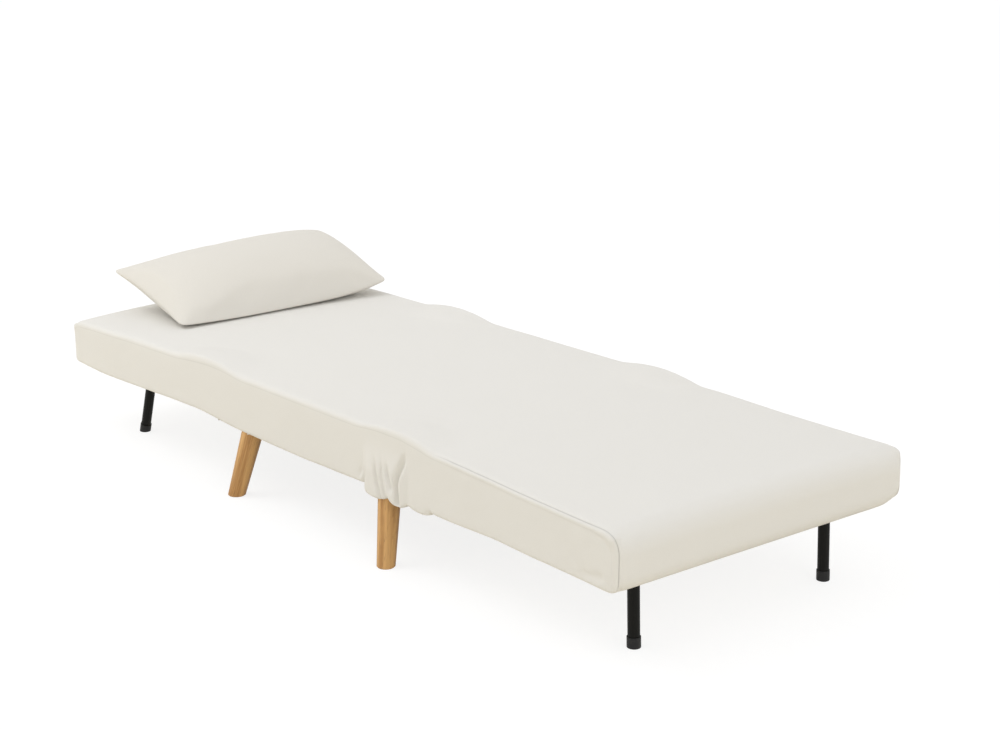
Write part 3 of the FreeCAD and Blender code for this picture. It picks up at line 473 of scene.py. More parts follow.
def cover_half(source, name, keep_foot):
    """One side of mid-seat of the cover's mesh, with a hard edge where it was cut."""
    bm = bmesh.new()
    bm.from_mesh(source)
    bmesh.ops.bisect_plane(bm, geom=bm.verts[:] + bm.edges[:] + bm.faces[:], dist=1e-6,
                           plane_co=(MID_SEAT_X, 0, 0), plane_no=(1, 0, 0),
                           clear_outer=not keep_foot, clear_inner=keep_foot)
    for edge in bm.edges:
        if edge.is_boundary and abs(edge.verts[0].co.x - MID_SEAT_X) < 1e-5:
            edge.smooth = False
    half = bpy.data.meshes.new(name)
    bm.to_mesh(half)
    bm.free()
    smooth_shaded(half)
    cloth_map(half)
    return half


def make_cover(material):
    bm, up = shape_cover()
    open_underside(bm, up)
    clear_of_legs(bm)
    mesh = bpy.data.meshes.new("cover")
    bm.to_mesh(mesh)
    bm.free()
    whole = mesh_piece("cover", mesh, material)
    soften(whole)
    for name, (keep_foot, first, second, hinge, reach) in COVER_PIECES.items():
        half = cover_half(whole.data, name, keep_foot)
        piece = mesh_piece(name, half, material)
        thicken(piece, CLOTH_THICKNESS, -1)
        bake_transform(piece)
        if keep_foot:
            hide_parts("foot_cover", "seat_cover")
        else:
            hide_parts("back_cover", "seat_cover")
    old = whole.data
    bpy.data.objects.remove(whole)
    bpy.data.meshes.remove(old)


# Pillow

PILLOW_LENGTH = 0.585
PILLOW_DEPTH = 0.292
PILLOW_FULLNESS = 0.132
PILLOW_CORNER = 0.016
PILLOW_SEAM_THICKNESS = 0.003
PILLOW_WAIST = 0.006
# How flat the middle and how round the edge is, in depth and in length
PILLOW_SWELL = ((2.2, 0.74), (2.7, 0.68))
PILLOW_CROWD_TO_SEAM = (1.35, 1.2)
PILLOW_FRONT_POWER = 2.5
PILLOW_FRONT_BOW = 0.022
PILLOW_FRONT_SAG = 0.016
PILLOW_HEAD_TIP = (0.008, 0.010)
PILLOW_CELL = 0.0075
PILLOW_PRESSURE = 3.0
PILLOW_SETTLE = 0.006
PILLOW_EASE = 3
PILLOW_TILT = 15.5
PILLOW_ROLL = 2.2
PILLOW_MIDDLE_HEIGHT = 0.3215
PILLOW_REST_GAP = 0.0008
PILLOW_REST_SOFTNESS = 0.006
FILLING_INSET = 0.002


def pillow_blank():
    """A stuffed pillow with a knife-edge seam, lying flat with its length along Y."""
    bm = bmesh.new()
    bmesh.ops.create_grid(bm, x_segments=round(PILLOW_DEPTH / PILLOW_CELL),
                          y_segments=round(PILLOW_LENGTH / PILLOW_CELL), size=1)
    made = bmesh.ops.extrude_face_region(bm, geom=list(bm.faces))
    raised = [item for item in made["geom"] if isinstance(item, bmesh.types.BMVert)]
    bmesh.ops.translate(bm, verts=raised, vec=(0, 0, 1))
    steady_order(bm)
    grid = np.array([v.co for v in bm.verts])
    u = np.sign(grid[:, 0]) * (1 - (1 - np.abs(grid[:, 0])) ** PILLOW_CROWD_TO_SEAM[0])
    v = np.sign(grid[:, 1]) * (1 - (1 - np.abs(grid[:, 1])) ** PILLOW_CROWD_TO_SEAM[1])
    dx = PILLOW_DEPTH / 2 * (1 - np.abs(u))
    dy = PILLOW_LENGTH / 2 * (1 - np.abs(v))
    dx, dy = rounded_corner(dx, dy, PILLOW_CORNER)
    x = np.sign(u) * (PILLOW_DEPTH / 2 - dx)
    y = np.sign(v) * (PILLOW_LENGTH / 2 - dy)
    u, v = np.abs(x) / (PILLOW_DEPTH / 2), np.abs(y) / (PILLOW_LENGTH / 2)
    (flat_x, round_x), (flat_y, round_y) = PILLOW_SWELL
    half = (PILLOW_FULLNESS / 2) * (1 - u ** flat_x) ** round_x * (1 - v ** flat_y) ** round_y
    side = np.where(grid[:, 2] > 0.5, 1, -1)
    z = side * (half + PILLOW_SEAM_THICKNESS / 2)
    x = x - np.sign(x) * PILLOW_WAIST * u ** 3 * (1 - v ** 2)
    y = y - np.sign(y) * PILLOW_WAIST * v ** 3 * (1 - u ** 2)
    front = np.clip(x / (PILLOW_DEPTH / 2), 0, 1) ** 2
    x = x + PILLOW_FRONT_BOW * front * (1 - v ** PILLOW_FRONT_POWER)
    z = z - PILLOW_FRONT_SAG * front * (1 - v ** PILLOW_FRONT_POWER)
    tip = np.where((x < 0) & (y < 0), u ** 3 * v ** 4, 0)
    x = x - PILLOW_HEAD_TIP[0] * tip
    y = y - PILLOW_HEAD_TIP[1] * tip
    for vert, px, py, pz in zip(bm.verts, x, y, z):
        vert.co = (px, py, pz)
    bmesh.ops.recalc_face_normals(bm, faces=bm.faces)
    mesh = bpy.data.meshes.new("pillow")
    bm.to_mesh(mesh)
    bm.free()
    return mesh


def mesh_points(mesh):
    points = np.zeros(len(mesh.vertices) * 3, np.float32)
    mesh.vertices.foreach_get("co", points)
    return points.reshape(-1, 3).astype(float)


def set_mesh_points(mesh, points):
    mesh.vertices.foreach_set("co", points.astype(np.float32).ravel())
    mesh.update()


def filled_by_pressure(piece, pressure, frames=20):
    cloth = piece.modifiers.new("fill", "CLOTH")
    settings = cloth.settings
    settings.quality = 6
    settings.mass = 0.25
    settings.tension_stiffness = 25
    settings.compression_stiffness = 25
    settings.shear_stiffness = 8
    settings.bending_stiffness = 0.6
    settings.use_pressure = True
    settings.uniform_pressure_force = pressure
    settings.effector_weights.gravity = 0
    cloth.collision_settings.use_collision = False
    scene = bpy.context.scene
    start = mesh_points(piece.data)
    for step in range(1, frames + 1):
        scene.frame_set(step)
    applied(piece)
    scene.frame_set(1)
    settled = mesh_points(piece.data) - start
    reach = np.linalg.norm(settled, axis=1, keepdims=True)
    settled *= np.minimum(1, PILLOW_SETTLE / np.maximum(reach, 1e-9))
    set_mesh_points(piece.data, start + settled)


def make_pillow(material, filling):
    piece = mesh_piece("pillow_case", pillow_blank(), material)
    filled_by_pressure(piece, PILLOW_PRESSURE)
    ease(piece, PILLOW_EASE)
    applied(piece)
    soften(piece)
    lay_on_bed(piece.data)
    smooth_shaded(piece.data)
    cloth_map(piece.data)
    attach(piece, "pillow")
    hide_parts("pillow_cover")

    inner = piece.data.copy()
    inner.name = "pillow_filling_bag"
    normals = np.array([vert.normal for vert in inner.vertices])
    set_mesh_points(inner, mesh_points(inner) - FILLING_INSET * normals)
    bag = mesh_piece("pillow_filling_bag", inner, filling)
    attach(bag, "pillow")
    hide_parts("pillow_filling")


def bed_top(x, y):
    """The height of the cover's top, without its noise."""
    shoulder = soft_line(x, SHOULDER_LINE)
    return shoulder + crown_rise(x, y, half_width(x), shoulder)


def lay_on_bed(mesh):
    """Turns the filled pillow to its lie on the bed and flattens it where it rests."""
    lo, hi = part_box("pillow_cover")
    points = mesh_points(mesh)
    turn, roll = math.radians(PILLOW_TILT), math.radians(PILLOW_ROLL)
    x = points[:, 0] * math.cos(turn) + points[:, 2] * math.sin(turn)
    z = -points[:, 0] * math.sin(turn) + points[:, 2] * math.cos(turn)
    y = points[:, 1] * math.cos(roll) - z * math.sin(roll) + (lo.y + hi.y) / 2
    z = points[:, 1] * math.sin(roll) + z * math.cos(roll) + PILLOW_MIDDLE_HEIGHT
    x = x + (lo.x + hi.x) / 2
    rest = bed_top(x, y) + PILLOW_REST_GAP
    above = z - rest
    soft = PILLOW_REST_SOFTNESS
    z = rest + soft * np.log1p(np.exp(np.clip(above / soft, -30, 30)))
    z = np.where(above > 8 * soft, rest + above, z)
    set_mesh_points(mesh, np.stack([x, y, z], 1))


# Foam, pads and closing panels

def node_copy(node, name):
    bm = bmesh.new()
    bm.from_mesh(frame["nodes"][node].data)
    bmesh.ops.remove_doubles(bm, verts=bm.verts, dist=1e-5)
    mesh = bpy.data.meshes.new(name)
    return bm, mesh


FOAM_CELL = 0.009
FOAM_INSET = 0.010
FOAM_TOP_INSET = 0.006
FOAM_EASE = 3


def make_foam(node, name, body, material):
    """A cut foam block with soft edges, a little inside the cover."""
    bm, mesh = node_copy(node, name)
    bm.to_mesh(mesh)
    bm.free()
    piece = mesh_piece(name, mesh, material)
    remesh = piece.modifiers.new("even", "REMESH")
    remesh.mode = "VOXEL"
    remesh.voxel_size = FOAM_CELL
    ease(piece, FOAM_EASE)
    applied(piece)
    mesh = piece.data
    lo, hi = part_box(node)
    middle = (lo + hi) / 2
    for vert in mesh.vertices:
        for axis in (0, 1):
            reach = (hi[axis] - lo[axis]) / 2
            share = (vert.co[axis] - middle[axis]) / reach
            vert.co[axis] -= FOAM_INSET * share
        vert.co.z -= FOAM_TOP_INSET * (vert.co.z - lo.z) / (hi.z - lo.z)
    smooth_shaded(mesh)
    mesh.materials.clear()
    mesh.materials.append(material)
    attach(piece, body)
    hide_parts(node)


PANEL_CELL = 0.018
PANEL_EDGE = 0.06
PANEL_UNEVEN = (0.0006, 14)


def make_panel(node, name, body, material, belly):
    """A flat panel cut into a grid, with a slight belly and its edges turned in."""
    bm, mesh = node_copy(node, name)
    bmesh.ops.dissolve_limit(bm, angle_limit=math.radians(1), verts=bm.verts, edges=bm.edges)
    lo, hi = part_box(node)
    for axis in (0, 1):
        normal = [0, 0, 0]
        normal[axis] = 1
        for place in np.arange(lo[axis] + PANEL_CELL, hi[axis] - PANEL_CELL / 2, PANEL_CELL):
            at = [0, 0, 0]
            at[axis] = place
            bmesh.ops.bisect_plane(bm, geom=bm.verts[:] + bm.edges[:] + bm.faces[:], dist=1e-6,
                                   plane_co=at, plane_no=normal)
    bmesh.ops.triangulate(bm, faces=[f for f in bm.faces if len(f.verts) > 4])
    for vert in bm.verts:
        inside = min(vert.co.x - lo.x, hi.x - vert.co.x, vert.co.y - lo.y, hi.y - vert.co.y)
        vert.co.z -= belly * float(smooth(np.array(inside), 0, PANEL_EDGE))
        uneven, scale = PANEL_UNEVEN
        vert.co.z += uneven * noise.noise(vert.co * scale) * min(1, inside / 0.02)
    bm.to_mesh(mesh)
    bm.free()
    smooth_shaded(mesh)
    cloth_map(mesh)
    piece = mesh_piece(name, mesh, material)
    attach(piece, body)
    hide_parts(node)


END_CLOTH_GAP = 0.0018
END_CLOTH_THICKNESS = 0.0008
END_CLOTH_HALF_WIDTH = 0.318
END_CLOTH_TOP = 0.258
END_CLOTH_CELLS = (48, 10)


def make_end_cloth(name, x, body, bottom, outward, material):
    """The upright cloth that closes a section's end beside a hinge."""
    bm = bmesh.new()
    bmesh.ops.create_grid(bm, x_segments=END_CLOTH_CELLS[0], y_segments=END_CLOTH_CELLS[1], size=1)
    for vert in bm.verts:
        across, up = vert.co.x, (vert.co.y + 1) / 2
        vert.co = (x, across * END_CLOTH_HALF_WIDTH, bottom + up * (END_CLOTH_TOP - bottom))
        vert.co.x += 0.0004 * noise.noise(vert.co * 20)
    bmesh.ops.recalc_face_normals(bm, faces=bm.faces)
    if bm.faces[:][0].normal.x * outward < 0:
        bmesh.ops.reverse_faces(bm, faces=bm.faces)
    mesh = bpy.data.meshes.new(name)
    bm.to_mesh(mesh)
    bm.free()
    smooth_shaded(mesh)
    cloth_map(mesh)
    piece = mesh_piece(name, mesh, material)
    thicken(piece, END_CLOTH_THICKNESS, 0)
    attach(piece, body)


# Materials

class Paint:
    """A new material with short names for its nodes and links."""

    def __init__(self, name):
        self.material = bpy.data.materials.new(name)
        self.material.use_nodes = True
        self.tree = self.material.node_tree
        self.shader = self.tree.nodes["Principled BSDF"]

    def node(self, kind, **values):
        made = self.tree.nodes.new(kind)
        for key, value in values.items():
            if hasattr(made, key):
                setattr(made, key, value)
            else:
                made.inputs[key].default_value = value
        return made

    def link(self, out, into):
        self.tree.links.new(out, into)

    def shader_values(self, **values):
        for key, value in values.items():
            self.shader.inputs[key.replace("_", " ")].default_value = value

    def math(self, operation, first, second=0.0):
        made = self.node("ShaderNodeMath", operation=operation)
        for socket, value in zip(made.inputs, (first, second)):
            if isinstance(value, (int, float)):
                socket.default_value = value
            else:
                self.link(value, socket)
        return made.outputs[0]

    def times(self, first, second):
        return self.math("MULTIPLY", first, second)

    def plus(self, first, second):
        return self.math("ADD", first, second)

    def minus(self, first, second):
        return self.math("SUBTRACT", first, second)

    def mix(self, factor, first, second):
        """A colour mix: its factor is input 0 and its colours are inputs 6 and 7."""
        made = self.node("ShaderNodeMix", data_type="RGBA")
        for index, value in ((0, factor), (6, first), (7, second)):
            socket = made.inputs[index]
            if isinstance(value, (int, float)):
                socket.default_value = value
            elif isinstance(value, (tuple, list)):
                socket.default_value = (*value[:3], 1)
            else:
                self.link(value, socket)
        return made.outputs[2]

    def bump(self, height, distance, strength=1.0, under=None):
        made = self.node("ShaderNodeBump", Distance=distance, Strength=strength)
        self.link(height, made.inputs["Height"])
        if under is not None:
            self.link(under, made.inputs["Normal"])
        return made.outputs["Normal"]


class Effect(Paint):
    """A node group with named inputs and outputs."""

    def __init__(self, name, inputs, outputs):
        self.tree = bpy.data.node_groups.new(name, "ShaderNodeTree")
        for key, (kind, value) in inputs.items():
            socket = self.tree.interface.new_socket(name=key, in_out="INPUT", socket_type=kind)
            if value is not None:
                socket.default_value = value
        for key, kind in outputs.items():
            self.tree.interface.new_socket(name=key, in_out="OUTPUT", socket_type=kind)
        self.entry = self.tree.nodes.new("NodeGroupInput").outputs
        self.exit = self.tree.nodes.new("NodeGroupOutput").inputs


def weave_effect():
    """Plain weave with uneven, slubby threads."""
    effect = Effect("plain_weave",
                    {"Place": ("NodeSocketVector", None), "Thread": ("NodeSocketFloat", 0.001)},
                    {"Height": "NodeSocketFloat", "Slub": "NodeSocketFloat"})
    split = effect.node("ShaderNodeSeparateXYZ")
    wobble = effect.node("ShaderNodeTexNoise", Scale=60.0, Detail=1.0)
    effect.link(effect.entry["Place"], wobble.inputs["Vector"])
    effect.link(effect.entry["Place"], split.inputs[0])
    drift = effect.times(effect.minus(wobble.outputs[0], 0.5), 1.6)
    u = effect.plus(effect.math("DIVIDE", split.outputs[0], effect.entry["Thread"]), drift)
    v = effect.plus(effect.math("DIVIDE", split.outputs[1], effect.entry["Thread"]), drift)
    warp = effect.math("ABSOLUTE", effect.math("SINE", effect.times(u, math.pi)))
    weft = effect.math("ABSOLUTE", effect.math("SINE", effect.times(v, math.pi)))
    turn = effect.minus(effect.math("FLOOR", u), effect.math("FLOOR", v))
    over = effect.math("PINGPONG", turn, 1.0)
    raised = effect.plus(effect.times(warp, over),
                         effect.times(weft, effect.minus(1.0, over)))
    effect.link(raised, effect.exit["Height"])
    slubs = []
    for stretch in ((90.0, 900.0, 1.0), (900.0, 90.0, 1.0)):
        mapping = effect.node("ShaderNodeMapping")
        mapping.inputs["Scale"].default_value = stretch
        effect.link(effect.entry["Place"], mapping.inputs[0])
        streak = effect.node("ShaderNodeTexNoise", Scale=1.0, Detail=2.0)
        effect.link(mapping.outputs[0], streak.inputs["Vector"])
        slubs.append(streak.outputs[0])
    effect.link(effect.times(effect.plus(*slubs), 0.5), effect.exit["Slub"])
    return effect.tree


def cloth_material(weave, name, colour, shade, thread=0.0011, seams=False):
    paint = Paint(name)
    place = paint.node("ShaderNodeUVMap", uv_map="cloth")
    cloth = paint.node("ShaderNodeGroup", node_tree=weave)
    cloth.inputs["Thread"].default_value = thread
    paint.link(place.outputs[0], cloth.inputs["Place"])
    blotch = paint.node("ShaderNodeTexNoise", Scale=7.0, Detail=3.0)
    rumple = paint.node("ShaderNodeTexNoise", Scale=26.0, Detail=3.0, Roughness=0.55)
    spot = paint.node("ShaderNodeTexCoord")
    for texture in (blotch, rumple):
        paint.link(spot.outputs["Object"], texture.inputs["Vector"])
    tone = paint.mix(cloth.outputs["Slub"], shade, colour)
    # Painted shade: the low places of the weave, between the threads, are darkened toward a deeper
    # cream.
    weave_gap_shade = paint.times(paint.minus(1.0, cloth.outputs["Height"]), 0.16)
    tone = paint.mix(weave_gap_shade, tone, [c * 0.72 for c in shade])
    soft = paint.times(blotch.outputs[0], 0.30)
    tone = paint.mix(soft, tone, [c * 0.97 for c in shade])
    height = cloth.outputs["Height"]
    normal = paint.bump(rumple.outputs[0], 0.0016, 0.6)
    normal = paint.bump(height, 0.00022, 0.8, normal)
    if seams:
        tone, normal = stitched(paint, place, tone, normal, shade)
    paint.link(tone, paint.shader.inputs["Base Color"])
    paint.link(normal, paint.shader.inputs["Normal"])
    paint.shader_values(Roughness=0.88, Sheen_Weight=0.12, Sheen_Roughness=0.5,
                        Specular_IOR_Level=0.25)
    return paint.material


SEAM_GROOVE_WIDTH = 0.0012
STITCH_LINE_WIDTH = 0.0011
STITCH_LENGTH = 0.0045


def line_mask(paint, attribute, width):
    """One on the line where a distance attribute is zero, fading to nothing at the width."""
    distance = paint.node("ShaderNodeAttribute", attribute_name=attribute).outputs["Fac"]
    away = paint.math("DIVIDE", paint.math("ABSOLUTE", distance), width)
    return paint.math("MAXIMUM", paint.minus(1.0, away), 0.0)


def stitched(paint, place, tone, normal, shade):
    """The seam's narrow groove and the row of stitches beside it, with painted shade in the groove and
    along the stitch line.
    """
    strength = paint.node("ShaderNodeAttribute", attribute_name="seam_strength").outputs["Fac"]
    groove = paint.times(line_mask(paint, "panel_edge", SEAM_GROOVE_WIDTH), strength)
    beside = paint.times(line_mask(paint, "panel_stitch", STITCH_LINE_WIDTH),
                         paint.plus(0.5, paint.times(strength, -0.2)))
    split = paint.node("ShaderNodeSeparateXYZ")
    paint.link(place.outputs[0], split.inputs[0])
    run = paint.plus(split.outputs[0], split.outputs[1])
    dash = paint.math("SINE", paint.times(run, 2 * math.pi / STITCH_LENGTH))
    dash = paint.math("GREATER_THAN", dash, -0.35)
    stitch = paint.times(beside, dash)
    # Painted shade: the seam's groove and the stitch line are darkened toward a deep cream.
    dark = paint.plus(paint.times(groove, 0.55), paint.times(beside, 0.35))
    tone = paint.mix(dark, tone, [c * 0.55 for c in shade])
    height = paint.minus(paint.times(stitch, 0.6), paint.plus(groove, beside))
    return tone, paint.bump(height, 0.0009, 0.9, normal)


def grain_effect():
    """Wood grain: long fibres, slow rings and small dark pores, along Z."""
    effect = Effect("wood_grain", {"Place": ("NodeSocketVector", None)},
                    {"Ring": "NodeSocketFloat", "Fibre": "NodeSocketFloat",
                     "Pore": "NodeSocketFloat"})
    for name, stretch, detail, low_edge, high_edge in (
            ("Ring", (75.0, 75.0, 2.4), 2.0, 0.42, 0.60),
            ("Fibre", (520.0, 520.0, 9.0), 3.0, 0.3, 0.7),
            ("Pore", (900.0, 900.0, 34.0), 1.0, 0.62, 0.70)):
        mapping = effect.node("ShaderNodeMapping")
        mapping.inputs["Scale"].default_value = stretch
        effect.link(effect.entry["Place"], mapping.inputs[0])
        texture = effect.node("ShaderNodeTexNoise", Scale=1.0, Detail=detail)
        effect.link(mapping.outputs[0], texture.inputs["Vector"])
        span = effect.node("ShaderNodeMapRange")
        span.inputs["From Min"].default_value = low_edge
        span.inputs["From Max"].default_value = high_edge
        effect.link(texture.outputs[0], span.inputs[0])
        effect.link(span.outputs[0], effect.exit[name])
    return effect.tree


def oak_material(grain, name, lean_x, lean_y):
    """Oiled oak with its grain along a splayed leg."""
    paint = Paint(name)
    place = paint.node("ShaderNodeTexCoord")
    turned = paint.node("ShaderNodeMapping")
    turned.inputs["Rotation"].default_value = (lean_x, lean_y, 0)
    paint.link(place.outputs["Object"], turned.inputs[0])
    wood = paint.node("ShaderNodeGroup", node_tree=grain)
    paint.link(turned.outputs[0], wood.inputs["Place"])
    tone = paint.mix(wood.outputs["Ring"], (0.64, 0.37, 0.142), (0.39, 0.190, 0.058))
    tone = paint.mix(paint.times(wood.outputs["Fibre"], 0.40), tone, (0.69, 0.42, 0.170))
    tone = paint.mix(paint.times(wood.outputs["Pore"], 0.55), tone, (0.26, 0.13, 0.05))
    paint.link(tone, paint.shader.inputs["Base Color"])
    rough = paint.plus(0.42, paint.times(wood.outputs["Fibre"], 0.14))
    paint.link(rough, paint.shader.inputs["Roughness"])
    height = paint.minus(wood.outputs["Fibre"], paint.times(wood.outputs["Pore"], 1.5))
    paint.link(paint.bump(height, 0.00025, 0.5), paint.shader.inputs["Normal"])
    paint.shader_values(Specular_IOR_Level=0.4)
    return paint.material


PLY_THICKNESS = 0.0014


def plywood_material(grain):
    """Birch plywood: pale faces with the grain across the bed, and dark glue lines on the edges."""
    paint = Paint("birch_plywood")
    place = paint.node("ShaderNodeTexCoord")
    turned = paint.node("ShaderNodeMapping")
    turned.inputs["Rotation"].default_value = (math.radians(90), 0, 0)
    paint.link(place.outputs["Object"], turned.inputs[0])
    wood = paint.node("ShaderNodeGroup", node_tree=grain)
    paint.link(turned.outputs[0], wood.inputs["Place"])
    tone = paint.mix(wood.outputs["Ring"], (0.70, 0.55, 0.36), (0.60, 0.44, 0.26))
    tone = paint.mix(paint.times(wood.outputs["Fibre"], 0.3), tone, (0.76, 0.62, 0.43))
    split = paint.node("ShaderNodeSeparateXYZ")
    paint.link(place.outputs["Object"], split.inputs[0])
    layer = paint.math("SINE", paint.times(split.outputs[2], 2 * math.pi / PLY_THICKNESS))
    facing = paint.node("ShaderNodeNewGeometry")
    level = paint.node("ShaderNodeSeparateXYZ")
    paint.link(facing.outputs["Normal"], level.inputs[0])
    edge = paint.minus(1.0, paint.math("ABSOLUTE", level.outputs[2]))
    dark = paint.times(paint.math("GREATER_THAN", layer, 0.55),
                       paint.math("GREATER_THAN", edge, 0.6))
    tone = paint.mix(paint.times(dark, 0.6), tone, (0.24, 0.14, 0.07))
    paint.link(tone, paint.shader.inputs["Base Color"])
    paint.link(paint.bump(wood.outputs["Fibre"], 0.0002, 0.4), paint.shader.inputs["Normal"])
    paint.shader_values(Roughness=0.55)
    return paint.material


def speckle_effect():
    """Fine uneven grain for coatings, castings and foam."""
    effect = Effect("fine_grain",
                    {"Place": ("NodeSocketVector", None), "Scale": ("NodeSocketFloat", 900.0)},
                    {"Fine": "NodeSocketFloat", "Broad": "NodeSocketFloat"})
    for name, share, detail in (("Fine", 1.0, 2.0), ("Broad", 0.02, 2.0)):
        texture = effect.node("ShaderNodeTexNoise", Detail=detail)
        effect.link(effect.entry["Place"], texture.inputs["Vector"])
        effect.link(effect.times(effect.entry["Scale"], share), texture.inputs["Scale"])
        effect.link(texture.outputs[0], effect.exit[name])
    return effect.tree


def plain_material(speckle, name, colour, other, roughness, spread, scale, height, **values):
    """A coated, moulded or foamed finish with fine grain and slow variation."""
    paint = Paint(name)
    place = paint.node("ShaderNodeTexCoord")
    fine = paint.node("ShaderNodeGroup", node_tree=speckle)
    fine.inputs["Scale"].default_value = scale
    paint.link(place.outputs["Object"], fine.inputs["Place"])
    paint.link(paint.mix(fine.outputs["Broad"], colour, other), paint.shader.inputs["Base Color"])
    rough = paint.plus(roughness - spread / 2, paint.times(fine.outputs["Broad"], spread))
    paint.link(rough, paint.shader.inputs["Roughness"])
    paint.link(paint.bump(fine.outputs["Fine"], height, 0.5), paint.shader.inputs["Normal"])
    paint.shader_values(**values)
    return paint.material


def finish_nodes(materials):
    """Gives each kept node its material, by the words in its name."""
    rules = [
        (("slat_shoes", "rail_plugs", "leg_caps"), "plastic"),
        (("slats",), "plywood"),
        (("bolts", "pins", "springs"), "zinc"),
        (("recline_", "fold_", "pawl_"), "plate"),
        (("rails", "leg_frame", "leg_plates"), "steel"),
    ]
    for name, node in frame["nodes"].items():
        kind = next((kind for words, kind in rules if any(word in name for word in words)), None)
        if name.startswith("wood_leg"):
            kind = name
        if kind:
            node.data.materials.clear()
            node.data.materials.append(materials[kind])


COVER_CREAM, COVER_CREAM_SHADE = (0.825, 0.812, 0.780), (0.785, 0.768, 0.728)
PILLOW_CREAM, PILLOW_CREAM_SHADE = (0.788, 0.762, 0.708), (0.750, 0.721, 0.661)
LEG_SPLAY_OUT = 12
LEG_SPLAY_ALONG = 10


def make_materials():
    weave, grain, speckle = weave_effect(), grain_effect(), speckle_effect()
    materials = {
        "cover": cloth_material(weave, "cream_woven_cover", COVER_CREAM, COVER_CREAM_SHADE, seams=True),
        "pillow": cloth_material(weave, "cream_pillow_cloth", PILLOW_CREAM, PILLOW_CREAM_SHADE),
        "panel": cloth_material(weave, "cream_panel_cloth", COVER_CREAM, COVER_CREAM_SHADE),
    }
    # Colour, second colour, roughness and its spread, grain scale and height, other shader values
    plain = {
        "foam": ("pale_foam", (0.80, 0.76, 0.62), (0.84, 0.81, 0.70), 0.9, 0.1, 1400.0, 0.0006, {}),
        "filling": ("white_filling", (0.82, 0.82, 0.80), (0.86, 0.86, 0.85), 0.9, 0.1,
                    500.0, 0.0010, {}),
        "steel": ("black_powder_coat", (0.0040, 0.0038, 0.0026), (0.0065, 0.0062, 0.0045),
                  0.45, 0.12, 2600.0, 0.00006, {"Specular_IOR_Level": 0.14}),
        "plastic": ("black_plastic", (0.010, 0.010, 0.010), (0.014, 0.014, 0.014), 0.55, 0.1,
                    3200.0, 0.00005, {"Specular_IOR_Level": 0.3}),
        "zinc": ("bright_zinc", (0.62, 0.64, 0.66), (0.52, 0.55, 0.58), 0.32, 0.2,
                 1800.0, 0.00003, {"Metallic": 1.0}),
        "plate": ("yellow_zinc_plate", (0.56, 0.52, 0.42), (0.48, 0.46, 0.42), 0.36, 0.2,
                  1500.0, 0.00004, {"Metallic": 1.0}),
    }
    for key, (*row, values) in plain.items():
        materials[key] = plain_material(speckle, *row, **values)
    materials["plywood"] = plywood_material(grain)
    for name in WOOD_LEGS:
        side = 1 if "left" in name else -1
        toe = 1 if "front" in name else -1
        lean_x, lean_y = -math.radians(LEG_SPLAY_OUT) * side, math.radians(LEG_SPLAY_ALONG) * toe
        materials["wood_leg_" + name] = oak_material(grain, "oak_leg_" + name, lean_x, lean_y)
    return materials


# Stage

CAMERA_PLACE = (3.0572, -2.3533, 1.3464)
CAMERA_DOWN = 15.542
CAMERA_TURN = 50.524
CAMERA_LENS = 69.48
FLOOR_SIZE = 40
FLOOR_GLOW = 1.08
FLOOR_SEEN = (0.90, 0.90, 0.90)
FLOOR_WHITENING = 0.76
FLOOR_BOUNCE = (0.85, 0.795, 0.665)
WORLD_COLOUR = (1.0, 0.995, 0.985, 1)
WORLD_STRENGTH = 0.885
# Each lamp's place, what it aims at, its size and its power
LAMPS = {
    "soft_box": ((-2.2, -2.4, 4.0), (0, 0, 0.2), 2.8, 58),
    "end_fill": ((5.0, -0.5, 2.6), (0.6, 0, 0.2), 3.0, 30),
    "side_fill": ((-1.2, -4.0, 1.3), (-0.3, -0.3, 0.2), 1.6, 5),
}


def make_camera():
    camera = bpy.data.objects.new("camera", bpy.data.cameras.new("camera"))
    bpy.context.scene.collection.objects.link(camera)
    camera.location = CAMERA_PLACE
    camera.rotation_euler = (math.radians(90 - CAMERA_DOWN), 0, math.radians(CAMERA_TURN))
    camera.data.lens = CAMERA_LENS
    camera.data.clip_end = 100
    bpy.context.scene.camera = camera


def make_floor():
    """A wide pale floor that is white to the camera and keeps the object's soft shadow."""
    bm = bmesh.new()
    bmesh.ops.create_grid(bm, x_segments=1, y_segments=1, size=FLOOR_SIZE)
    mesh = bpy.data.meshes.new("floor")
    bm.to_mesh(mesh)
    bm.free()
    floor = bpy.data.objects.new("floor", mesh)
    bpy.context.scene.collection.objects.link(floor)
    paint = Paint("studio_floor")
    mesh.materials.append(paint.material)
    paint.tree.nodes.remove(paint.shader)
    out = paint.tree.nodes["Material Output"]
    diffuse = paint.node("ShaderNodeBsdfDiffuse")
    glow = paint.node("ShaderNodeEmission", Color=(1, 1, 1, 1), Strength=FLOOR_GLOW)
    clear = paint.node("ShaderNodeBsdfTransparent")
    rays = paint.node("ShaderNodeLightPath")
    facing = paint.node("ShaderNodeNewGeometry")
    seen = paint.math("MAXIMUM", rays.outputs["Is Camera Ray"], rays.outputs["Is Glossy Ray"])
    seen = paint.math("MAXIMUM", seen, rays.outputs["Is Transmission Ray"])
    paint.link(paint.mix(seen, FLOOR_BOUNCE, FLOOR_SEEN), diffuse.inputs["Color"])
    whitened = paint.node("ShaderNodeMixShader")
    paint.link(paint.times(seen, FLOOR_WHITENING), whitened.inputs[0])
    paint.link(diffuse.outputs[0], whitened.inputs[1])
    paint.link(glow.outputs[0], whitened.inputs[2])
    from_below = paint.node("ShaderNodeMixShader")
    paint.link(facing.outputs["Backfacing"], from_below.inputs[0])
    paint.link(whitened.outputs[0], from_below.inputs[1])
    paint.link(clear.outputs[0], from_below.inputs[2])
    paint.link(from_below.outputs[0], out.inputs["Surface"])


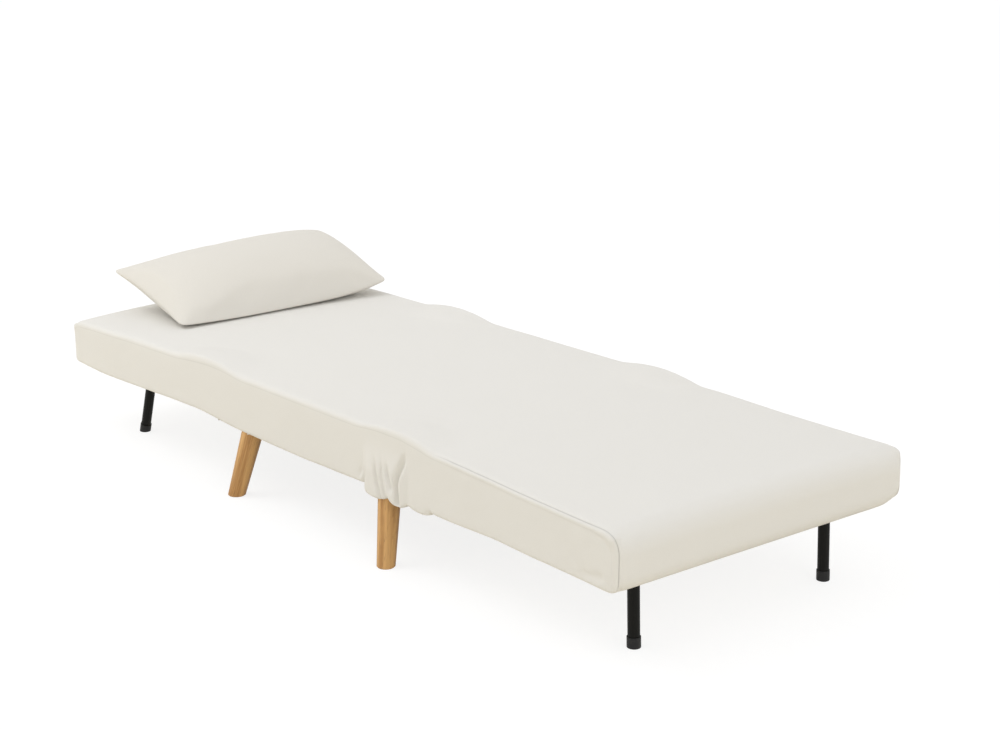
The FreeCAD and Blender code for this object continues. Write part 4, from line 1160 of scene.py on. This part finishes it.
def make_world():
    world = bpy.data.worlds.new("studio")
    bpy.context.scene.world = world
    world.use_nodes = True
    tree = world.node_tree
    soft = tree.nodes["Background"]
    soft.inputs["Color"].default_value = WORLD_COLOUR
    soft.inputs["Strength"].default_value = WORLD_STRENGTH
    white = tree.nodes.new("ShaderNodeBackground")
    white.inputs["Strength"].default_value = 1.0
    rays = tree.nodes.new("ShaderNodeLightPath")
    seen = tree.nodes.new("ShaderNodeMath")
    seen.operation = "MAXIMUM"
    tree.links.new(rays.outputs["Is Camera Ray"], seen.inputs[0])
    tree.links.new(rays.outputs["Is Transmission Ray"], seen.inputs[1])
    mix = tree.nodes.new("ShaderNodeMixShader")
    tree.links.new(seen.outputs[0], mix.inputs[0])
    tree.links.new(soft.outputs[0], mix.inputs[1])
    tree.links.new(white.outputs[0], mix.inputs[2])
    tree.links.new(mix.outputs[0], tree.nodes["World Output"].inputs["Surface"])


def make_lamp(name, place, aim, size, power):
    lamp = bpy.data.objects.new(name, bpy.data.lights.new(name, "AREA"))
    bpy.context.scene.collection.objects.link(lamp)
    lamp.data.shape = "DISK"
    lamp.data.size = size
    lamp.data.energy = power
    lamp.location = place
    lamp.rotation_mode = "QUATERNION"
    lamp.rotation_quaternion = (Vector(aim) - Vector(place)).to_track_quat("-Z", "Y")


make_camera()
make_world()
make_floor()
for lamp_name, lamp_values in LAMPS.items():
    make_lamp(lamp_name, *lamp_values)
bpy.context.scene.view_settings.view_transform = "Standard"

materials = make_materials()
finish_nodes(materials)
make_cover(materials["cover"])
make_pillow(materials["pillow"], materials["filling"])
for body, node in (("seat_section", "seat_foam"), ("back_section", "back_foam"),
                   ("foot_section", "foot_foam")):
    make_foam(node, node + "_block", body, materials["foam"])
make_panel("back_under_panel", "back_closing_panel", "back_section", materials["panel"], 0.0015)
make_panel("foot_under_panel", "foot_closing_panel", "foot_section", materials["panel"], 0.0030)
make_panel("foot_under_pad", "foot_seat_pad", "foot_section", materials["foam"], 0.0)

seat_bottom = low("seat_cover", 2) + 0.003
panel_top = high("back_under_panel", 2) + 0.0008
for name, x, body, bottom, outward in (
        ("seat_rear_cloth", RECLINE_X + END_CLOTH_GAP, "seat_section", seat_bottom, -1),
        ("back_lower_cloth", RECLINE_X - END_CLOTH_GAP, "back_section", panel_top, 1),
        ("seat_front_cloth", FOLD_X - END_CLOTH_GAP, "seat_section", seat_bottom, 1),
        ("foot_fold_cloth", FOLD_X + END_CLOTH_GAP, "foot_section", panel_top, -1)):
    make_end_cloth(name, x, body, bottom, outward, materials["panel"])
